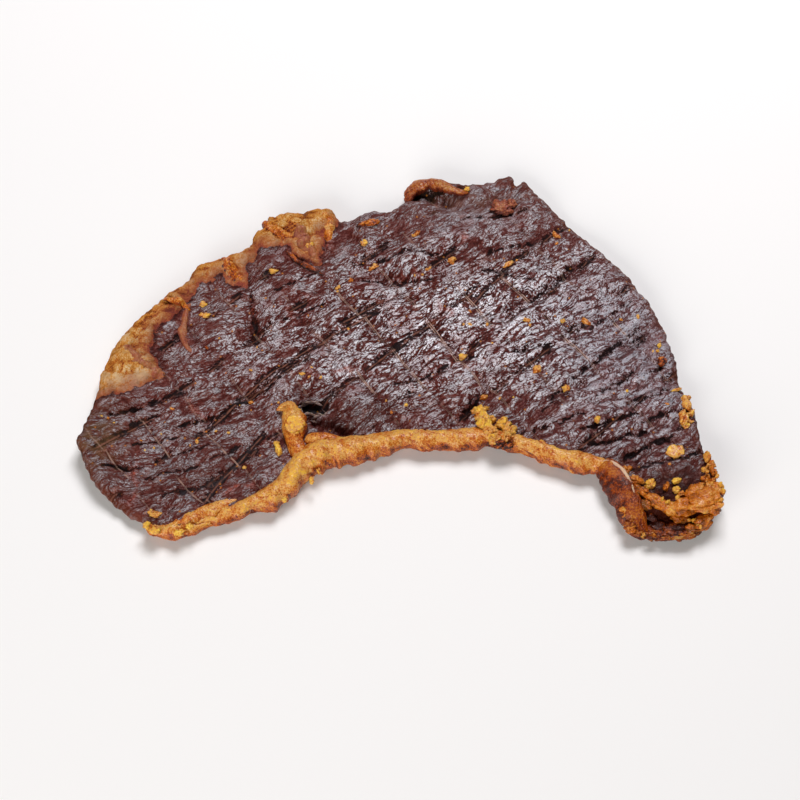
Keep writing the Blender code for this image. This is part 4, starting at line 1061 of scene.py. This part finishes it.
# jagged skin curled up along both sides of the hole, pale grey-lilac as a painted highlight
holeEdge = [
    (-25.6, -16.9, 1.3, 0.2, 0.4, 34, 0.4), (-24.2, -16.1, 1.2, 0.18, 0.45, 22, 0.2),
    (-23, -15.5, 1.4, 0.2, 0.5, 8, 0.1), (-21.4, -15.3, 1.2, 0.16, 0.4, -8, 0.2),
    (-20.2, -15.8, 1.1, 0.2, 0.4, -24, 0.3), (-19, -16.7, 1, 0.16, 0.4, -52, 0.3),
    (-25.2, -17.8, 0.2, 0.9, 0.4, 24, 0.2), (-24.2, -18.8, 0.18, 1, 0.5, 12, 0.1),
    (-23.4, -19.5, 1, 0.25, 0.4, 20, 0.2), (-22, -19.1, 1.2, 0.25, 0.5, -14, 0),
    (-20.6, -19.5, 0.9, 0.3, 0.4, 18, 0.2), (-19.4, -18.9, 1.1, 0.25, 0.45, -20, 0.1),
    (-18.2, -18.5, 0.8, 0.2, 0.4, 44, 0.3), (-21.6, -20.4, 1, 0.2, 0.35, -30, 0.3)]
cornerBits = [
    (56.2, -35.4, 1.7, 1.3, 1.1, 20, 0.5), (58.4, -39.2, 1.7, 1.3, 1.2, -10, 0.42),
    (61.9, -40, 1.5, 1.2, 1.1, 40, 0.12), (60.4, -41.6, 0.9, 0.7, 0.8, 0, 0.3),
    (76.4, -32.8, 1.3, 0.9, 1, 90, 0.3), (77.2, -34.8, 1.3, 1, 1, 60, 0.4),
    (77.6, -37, 1.3, 0.8, 0.9, 100, 0.5), (75.6, -36, 0.9, 0.7, 0.7, 30, 0.16),
    (75.4, -38.8, 1.4, 1, 0.9, 30, 0.46), (77, -40, 1.3, 1, 1, 60, 0.34),
    (73.8, -40.6, 1.3, 0.8, 0.8, 10, 0.5), (71.8, -41.4, 1.3, 0.8, 0.8, 60, 0.55),
    (65.8, -40.6, 1.3, 0.7, 0.7, 70, 0.66), (69.4, -42.8, 1.2, 0.8, 0.7, 20, 0.5),
    (54.8, -47.2, 1.3, 1, 0.9, 80, 0.4), (59.6, -52.4, 0.9, 0.7, 0.7, 0, 0.2),
    (56.4, -51.6, 1.4, 1.1, 1, 0, 0.6), (61.8, -53.4, 1.1, 0.8, 0.8, 0, 0.8),
    (65.4, -53.2, 1.2, 0.7, 0.6, 0, 0.76), (69.2, -53, 1.3, 0.7, 0.6, 0, 0.6)]
cornerMass = [
    (74.4, -45.2, 4.2, 3, 1.7, 25, 0.42), (70.2, -46.2, 3.4, 2.1, 1.4, 10, 0.5),
    (76.8, -42.4, 2.3, 2.2, 1.5, 10, 0.34), (72.4, -42.8, 2.6, 1.7, 1.2, 30, 0.56),
    (77, -46.6, 1.8, 2, 1.4, 0, 0.5), (74.4, -49.4, 2.8, 1.9, 1.2, 40, 0.62),
    (72, -51.2, 2.6, 1.4, 0.9, 14, 0.72), (59.6, -42, 2, 1.2, 1, -40, 0.74),
    (62.2, -44.2, 2.7, 1.5, 1.3, -35, 0.58), (65.6, -46.2, 3.2, 1.8, 1.5, -28, 0.42),
    (68.8, -48, 2.4, 1.5, 1.1, -16, 0.6), (60.4, -45.6, 1.6, 1.2, 0.8, -50, 0.84)]
cornerFloor = [
    (60.4, -51.2, 2.6, 1.6, 1.2, -20, 0.74), (64, -52.4, 3, 1.3, 0.9, -5, 0.78),
    (68, -52.4, 3, 1.5, 0.9, 0, 0.66), (71.4, -51.8, 2.4, 1.5, 0.9, 16, 0.6),
    (67.4, -50.4, 2.8, 1.4, 0.6, 8, 0.82), (63.4, -49.8, 2.6, 1.5, 0.5, -20, 1),
    (61.6, -47.6, 1.9, 1.2, 0.5, -50, 1), (56.2, -50.6, 1.5, 1.2, 1.2, 30, 0.6),
    (58.2, -52.2, 1.3, 0.9, 0.9, 0, 0.66), (54.4, -47.6, 1.2, 1, 0.9, 80, 0.74)]
cornerEdge = [
    (61.4, -53.7, 1.6, 0.45, 0.5, -4, 0.8), (64.6, -53.9, 1.6, 0.4, 0.45, 0, 0.6),
    (67.8, -53.8, 1.5, 0.4, 0.45, 3, 0.4), (70.6, -53.4, 1.2, 0.45, 0.5, 14, 0.4),
    (59.6, -52.6, 0.7, 0.5, 0.5, 30, 0.3)]
crystals = [
    (78, -39.2, 0.7, 0.5, 0.6, 40, 0.16), (78.6, -41.6, 0.8, 0.6, 0.8, 80, 0.06),
    (79, -43.6, 0.8, 0.6, 0.9, 120, 0.04), (78.4, -45.8, 0.7, 0.5, 0.7, 10, 0.1),
    (76.4, -41.2, 0.8, 0.6, 0.7, 10, 0.12), (72, -49.4, 0.7, 0.5, 0.6, 10, 0.02),
    (72.8, -50.6, 0.7, 0.4, 0.6, 50, 0), (73.2, -51.8, 0.6, 0.4, 0.5, 100, 0.06),
    (70.8, -49.4, 0.6, 0.4, 0.5, 0, 0.1), (64.4, -44.6, 0.7, 0.4, 0.6, 70, 0),
    (65.6, -45.6, 0.8, 0.5, 0.7, 30, 0), (66.8, -46.8, 0.7, 0.4, 0.6, 20, 0.04),
    (68, -44.4, 0.7, 0.5, 0.6, 50, 0.1), (75.8, -37.6, 0.6, 0.4, 0.5, 20, 0.1),
    (76.2, -35.6, 0.5, 0.4, 0.4, 70, 0.14)]
backLump = [
    (28.2, 44.4, 3, 2.1, 1.3, 15, 0.56), (26.6, 45.6, 1.4, 1.1, 1.1, 0, 0.7),
    (30.4, 45.4, 1.4, 1.2, 1, 0, 0.5), (29.2, 43, 1.3, 0.9, 0.9, 40, 0.62)]
bigFlakes = [(68.9, -30.5, 2.6, 2.2, 0.8, 20, 0.24)]
flakes = [
    (72.6, -17, 1.9, 1, 0.8, 110, 0.2), (71.6, -20.8, 2, 1.1, 0.8, 80, 0.26),
    (73.6, -19.2, 1.2, 0.8, 0.7, 40, 0.3), (73, -15, 0.9, 0.7, 0.6, 0, 0.2),
    (72.2, -23, 0.9, 0.7, 0.6, 30, 0.3), (73.4, -21.6, 0.8, 0.6, 0.6, 0, 0.36),
    (70.6, -12.6, 1.3, 0.4, 0.5, 20, 0.16), (67.4, -4.6, 1.2, 1, 0.9, 60, 0.7),
    (67, 0.2, 0.7, 0.5, 0.5, 60, 0.1), (18.6, 49.6, 0.8, 0.6, 0.6, 0, 0.06),
    (66.4, -1.6, 0.5, 0.4, 0.4, 0, 0.3), (-6.8, 38.4, 1.9, 0.9, 0.8, 10, 0.66),
    (-9.6, 38, 1.6, 0.6, 0.6, 20, 0.7), (42.2, 35.4, 1.3, 0.7, 0.6, -50, 0.4)]
crumbs = [
    (42.7, -12, 1, 0.9, 0.8, 0, 0.26), (35.3, -7, 1.3, 0.9, 0.7, 60, 0.3),
    (50, -21.6, 1, 0.7, 0.7, 70, 0.24), (48.7, 8.1, 1.4, 0.7, 0.6, 140, 0.36),
    (16.6, -2.5, 1.1, 0.8, 0.6, 10, 0.3), (21.7, -14.3, 1, 0.7, 0.6, 20, 0.4),
    (-58.9, -48, 1.3, 0.8, 0.7, 0, 0.24), (-60.2, -47.3, 0.8, 0.6, 0.6, 30, 0.26),
    (-29.7, -30.1, 0.9, 1.5, 0.9, 10, 0.1), (-30.3, -28.2, 0.8, 0.6, 0.7, 0, 0.14),
    (-50.1, 9.6, 1.3, 0.8, 0.6, 0, 0.2), (-50.8, 13, 0.9, 0.8, 0.6, 0, 0.24),
    (-32.8, 23.3, 1.2, 0.6, 0.5, 0, 0.12), (-9, 32.2, 0.9, 0.9, 0.7, 0, 0.2),
    (33.4, 7.7, 1, 0.5, 0.5, -10, 0.3), (42.6, 8, 0.7, 0.5, 0.5, 0, 0.2), (29, 26, 1.6, 0.6, 0.4, 40, 0.34),
    (4.9, 35.8, 1.2, 0.6, 0.5, 60, 0.5), (-6.5, 24.6, 1.6, 0.5, 0.5, 35, 0.46),
    (-12.3, 20.5, 0.6, 0.5, 0.4, 0, 0.5), (-15.7, 18.3, 0.9, 0.5, 0.5, 60, 0.4),
    (7.7, 24.2, 0.5, 0.4, 0.4, 0, 0.3), (-23.3, 31.3, 1.1, 0.8, 0.8, 20, 0.2),
    (14.2, 27.1, 1.2, 0.8, 0.6, 30, 0.3), (68.4, -39, 1.2, 0.7, 0.7, 20, 0),
    (68.2, -41.6, 1.1, 0.9, 0.8, 0, 0.12), (-50.4, -51.2, 1, 0.7, 0.8, 0, 0),
    (-53, -52.8, 1.3, 0.8, 0.8, 20, 0.02), (-58.8, -52.4, 1.4, 0.9, 0.8, 0, 0.04),
    (-61, -51, 1, 0.8, 0.7, 40, 0.1), (-27.9, -43.4, 0.8, 0.7, 0.6, 0, 0),
    (-21.2, -38.6, 0.6, 0.9, 0.7, 0, 0.04), (-19.6, -36, 0.5, 0.8, 0.6, 10, 0.1),
    (-33.4, -45.6, 0.9, 0.6, 0.6, 20, 0.04)]
specks = {
    "named": [
        (-59.1, -25.4), (-62.8, -30.2), (-45.5, -24.5), (-50, -27.9), (-56.9, -17.9), (-42.3, -25.3),
        (-51.6, -29), (8.4, 24.9), (4.4, 22.4), (14.5, 26), (34, 6.2), (43.8, 6.5), (25.7, -15.2),
        (67, -34.6), (18.6, 6.8), (42.1, 32.5), (31.4, 27.4), (62.2, 9.4), (45.8, 37.6), (-12.6, 20.1),
        (-6.3, 25.5), (-7.4, 24.4), (-15.8, 17.2), (-36.2, 0.4), (-43.8, -7.6), (-37, -18.2), (67.7, -17.3),
        (-72.6, -21.2), (-71, -22.6), (-74.4, -20.4), (-24.4, -8.4), (-22.6, -9.2), (6.4, 22.6), (23, 7),
        (57.8, 8.6), (24.2, 0.9), (-20.4, -17), (-46.2, -46.9), (-48, -24.4), (-49.8, -26.6), (-38, -34.6),
        (-43.4, -40.6), (-22, -6.6), (-19.6, -9.4), (-64, -27.4), (-60.6, -29.6), (-3, -16.4), (2, -17.6),
        (-1.6, -19.4), (5.4, -14.8)],
    "scattered": 28, "size": (0.22, 0.46), "seed": 95,
}


def speckRows():
    # Small crumbs at named places, and more at hashed places kept inside the slice
    number = np.arange(specks["scattered"])
    x = 74 * cellValue(number, number * 3, specks["seed"])
    y = 8 + 44 * cellValue(number * 5, number, specks["seed"] + 1)
    front, back = sliceEdges()
    inside = isInside(x, y, np.vstack([front, back[::-1]])[:, :2][::4]) & (fatDepth(x, y) < 0)
    x = np.append([p[0] for p in specks["named"]], x[inside])
    y = np.append([p[1] for p in specks["named"]], y[inside])
    n = np.arange(len(x))
    low, high = specks["size"]
    size = low + (high - low) * (0.5 + 0.5 * cellValue(n, n + 9, specks["seed"])) ** 1.6
    longer = 1.3 + 0.6 * cellValue(n, n + 5, specks["seed"])
    return np.stack([x, y, size * longer, size, 0.8 * size, 90 * cellValue(n, n + 2, specks["seed"]),
                     0.3 + 0.25 * cellValue(n, n + 7, specks["seed"])], axis=1)


def renderedFat(name, stain="#64220f", stained=0.0, gloss=0.26):
    # Beef fat after hours in a dryer: rendered, shrunk to a granular crust and stained by the meat juices.
    # To the eye: pinkish tan tops with a gloss of grease, yellow grains, faintly translucent; the saturated
    # orange below and in creases is painted shade. The stain and its share tell sinew and plain fat apart,
    # and give the pale crest and the hole's lips their painted highlight.
    material, tree, shader = newMaterial(name, {
        "Subsurface Weight": 0.18, "Subsurface Radius": (1.0, 0.42, 0.16), "Subsurface Scale": mm,
        "Specular IOR Level": 0.3, "Coat Weight": gloss, "Coat Roughness": 0.16})
    place = addNode(tree, "TexCoord", give="Object")
    inMm = addNode(tree, "VectorMath", (place, (1 / mm,) * 3), operation="MULTIPLY")
    tone, hollow = [addNode(tree, "Attribute", give="Fac", attribute_name=label)
                    for label in ("tone", "hollow")]
    fibres = addNode(tree, "Attribute", give="Vector", attribute_name="grain")
    stretched = addNode(tree, "VectorMath", (fibres, (1.1, 0.35, 1)), operation="MULTIPLY")
    blotch, grit, strands = [
        addNode(tree, "TexNoise", {"Vector": where, "Scale": scale, "Detail": detail, "Roughness": rough,
                                   "Distortion": bent})
        for where, scale, detail, rough, bent in ((inMm, 0.34, 4, 0.65, 0), (inMm, 3, 3, 0.5, 0),
                                                  (stretched, 1, 3, 0.5, 0.4))]
    grains = addNode(tree, "TexVoronoi", {"Vector": inMm, "Scale": 1.9})

    # tone + noise, with painted shade darkening the creases
    shade = tone
    for part, share in ((blotch, 1.2), (strands, 0.3), (hollow, -1.2), (grit, 1.1)):
        shade = addNode(tree, "Math", (part, share, shade), operation="MULTIPLY_ADD")
    shade = addNode(tree, "Math", (shade, 1.26), operation="SUBTRACT")
    colour = addNode(tree, "ValToRGB", (shade,), stops=[
        (0, "#f2bf45"), (0.14, "#e6a530"), (0.28, "#dea862"), (0.42, "#d2862a"), (0.56, "#c2640a"),
        (0.72, "#a04406"), (0.86, "#6c2608"), (1, "#300c04")])
    colour = addNode(tree, "Mix", (stained, colour, linear(stain)), data_type="RGBA")
    tree.links.new(colour, shader.inputs["Base Color"])
    dull = addNode(tree, "MapRange", (grit, 0.3, 0.7, 0.24, 0.5))
    tree.links.new(dull, shader.inputs["Roughness"])

    # heights in millimetres: grains 0.1, raised in their middles, strands 0.25, grit 0.24
    high = addNode(tree, "Math", (grains, -0.1), operation="MULTIPLY")
    for part, height in ((strands, 0.25), (grit, 0.24)):
        high = addNode(tree, "Math", (part, height, high), operation="MULTIPLY_ADD")
    bump = addNode(tree, "Bump", {"Height": high, "Strength": 1, "Distance": mm})
    tree.links.new(bump, shader.inputs["Normal"])
    return material


fat, sinew = renderedFat("rendered beef fat"), renderedFat("dried sinew", "#8c4c42", 0.7, 0.12)
rims = {
    "front_rim": ([frontRim, innerStrand, topFold], fat),
    "corner_lip": ([cornerLip], renderedFat("browned curl of fat", "#621c04", 0.3, 0.1)),
    "curl_crest": ([curlCrest], renderedFat("fat crest with painted highlight", "#d8c6b8", 0.6)),
    "fat_nub": ([fatNub], fat),
    "fat_tongues": (fatTongues, fat),
    "sinew_strings": (pinkStrings, sinew),
    "back_fold": ([backFold], renderedFat("browned fold of fat", "#7a2c14", 0.5, 0.3)),
}
# What each kind of lump changes of the plain one, with the number at which its noise starts
lumps = {
    "hole_edge": ([(holeEdge, {"index": 70, "rings": 14, "sides": 24, "uneven": 0.5, "above": 0.1})],
                  renderedFat("muscle skin with painted highlight", "#9a8a90", 0.85)),
    "nub_disc": ([(nubDisc, {"index": 3, "rings": 24, "sides": 60, "uneven": 0.12, "boxy": 0.5, "above": 2.8,
                             "grains": 1.2, "tilt": 0.3}),
                  (nubBits, {"index": 9, "sides": 28, "above": 2.2})], fat),
    "fat_clump": ([(fatClump, {"index": 0, "rings": 40, "sides": 56, "uneven": 0.36, "grains": 2.6})], fat),
    "corner_bits": ([(cornerBits, {"index": 20, "rings": 26, "uneven": 0.36}),
                     (cornerMass, {"index": 40, "rings": 54, "sides": 80, "uneven": 0.3, "boxy": 0.75,
                                   "above": 0.3, "grains": 2.4, "fine": 0.2}),
                     (crystals, {"index": 50, "rings": 12, "sides": 20, "uneven": 0.3, "boxy": 0.7,
                                 "above": 1.7, "corners": 5})],
                    renderedFat("golden crumbs of fat", "#d07a08", 0.3, 0.2)),
    # the crumbs on the pocket floor are dark partly in their own browned colour and partly as painted shade
    # of the pocket
    "corner_floor": ([(cornerFloor, {"index": 120, "rings": 44, "sides": 60, "uneven": 0.32, "grains": 3.0,
                                     "fine": 0.6}),
                      (cornerEdge, {"index": 140, "above": -0.1})],
                     renderedFat("browned pocket crumbs with painted shade", "#501804", 0.4, 0.08)),
    "back_lump": ([(backLump, {"index": 60, "rings": 40, "sides": 56})], sinew),
    "flakes": ([(bigFlakes, {"index": 80, "rings": 24, "sides": 60, "uneven": 0.14, "boxy": 0.4,
                             "corners": 5}),
                (flakes, {"index": 82, "rings": 24, "sides": 48, "uneven": 0.32, "boxy": 0.7})], fat),
    "crumbs": ([(crumbs, {"index": 100, "sides": 30, "boxy": 0.8}),
                (speckRows(), {"index": 200, "rings": 10, "sides": 14})], fat),
}
for name, (routes, material) in rims.items():
    makeRims(name, routes, material)
for name, (groups, material) in lumps.items():
    makeLumps(name, groups, material)


# Studio: floor, light and camera, in metres
studio = {
    "floor": 3.0, "floorColour": "#f7f6f4", "floorRoughness": 0.9,
    "room": 0.07, "roomColour": (1.0, 0.985, 0.97, 1.0),
    # place, width and depth, watts, colour; all face the slice
    "softboxes": {"main softbox": ((0.12, 0.44, 0.72), (0.44, 0.34), 6.6, (0.985, 0.97, 1.0)),
                  "front softbox": ((-0.35, -0.75, 0.33), (0.8, 0.5), 6.5, (1.0, 0.985, 0.96))},
    "eye": (0.0005, -0.248, 0.4067), "aim": (0.0005, -0.0155, 0.004), "lens": 82.87,
    "nearest": 0.01,                           # m, what is closer to the camera isn't drawn
}


def makeStudio():
    # A level floor, an even pale room, a softbox behind the slice and one before it, and the camera, which
    # looks down at about 60 degrees
    half = studio["floor"] / 2
    mesh = bpy.data.meshes.new("floor")
    corners = [(-half, -half, 0), (half, -half, 0), (half, half, 0), (-half, half, 0)]
    mesh.from_pydata(corners, [], [(0, 1, 2, 3)])
    paper = {"Base Color": linear(studio["floorColour"]), "Roughness": studio["floorRoughness"]}
    mesh.materials.append(newMaterial("matt white paper", paper)[0])
    floor = bpy.data.objects.new("floor", mesh)
    bpy.context.scene.collection.objects.link(floor)
    room = bpy.data.worlds.new("pale room")
    room.use_nodes = True
    room.node_tree.nodes["Background"].inputs["Color"].default_value = studio["roomColour"]
    room.node_tree.nodes["Background"].inputs["Strength"].default_value = studio["room"]
    bpy.context.scene.world = room
    for name, (place, size, watts, colour) in studio["softboxes"].items():
        light = bpy.data.lights.new(name, "AREA")
        light.shape = "RECTANGLE"
        light.size, light.size_y = size
        light.energy = watts
        light.color = colour
        softbox = bpy.data.objects.new(name, light)
        bpy.context.scene.collection.objects.link(softbox)
        softbox.location = place
        softbox.rotation_euler = (-softbox.location).to_track_quat("-Z", "Y").to_euler()
    camera = bpy.data.objects.new("camera", bpy.data.cameras.new("camera"))
    bpy.context.scene.collection.objects.link(camera)
    camera.data.lens = studio["lens"]
    camera.data.clip_start = studio["nearest"]
    camera.location = studio["eye"]
    camera.rotation_euler = (Vector(studio["aim"]) - camera.location).to_track_quat("-Z", "Y").to_euler()
    bpy.context.scene.camera = camera
    bpy.context.scene.view_settings.view_transform = "Standard"
    print("studio: floor, room, softboxes and camera")


makeStudio()
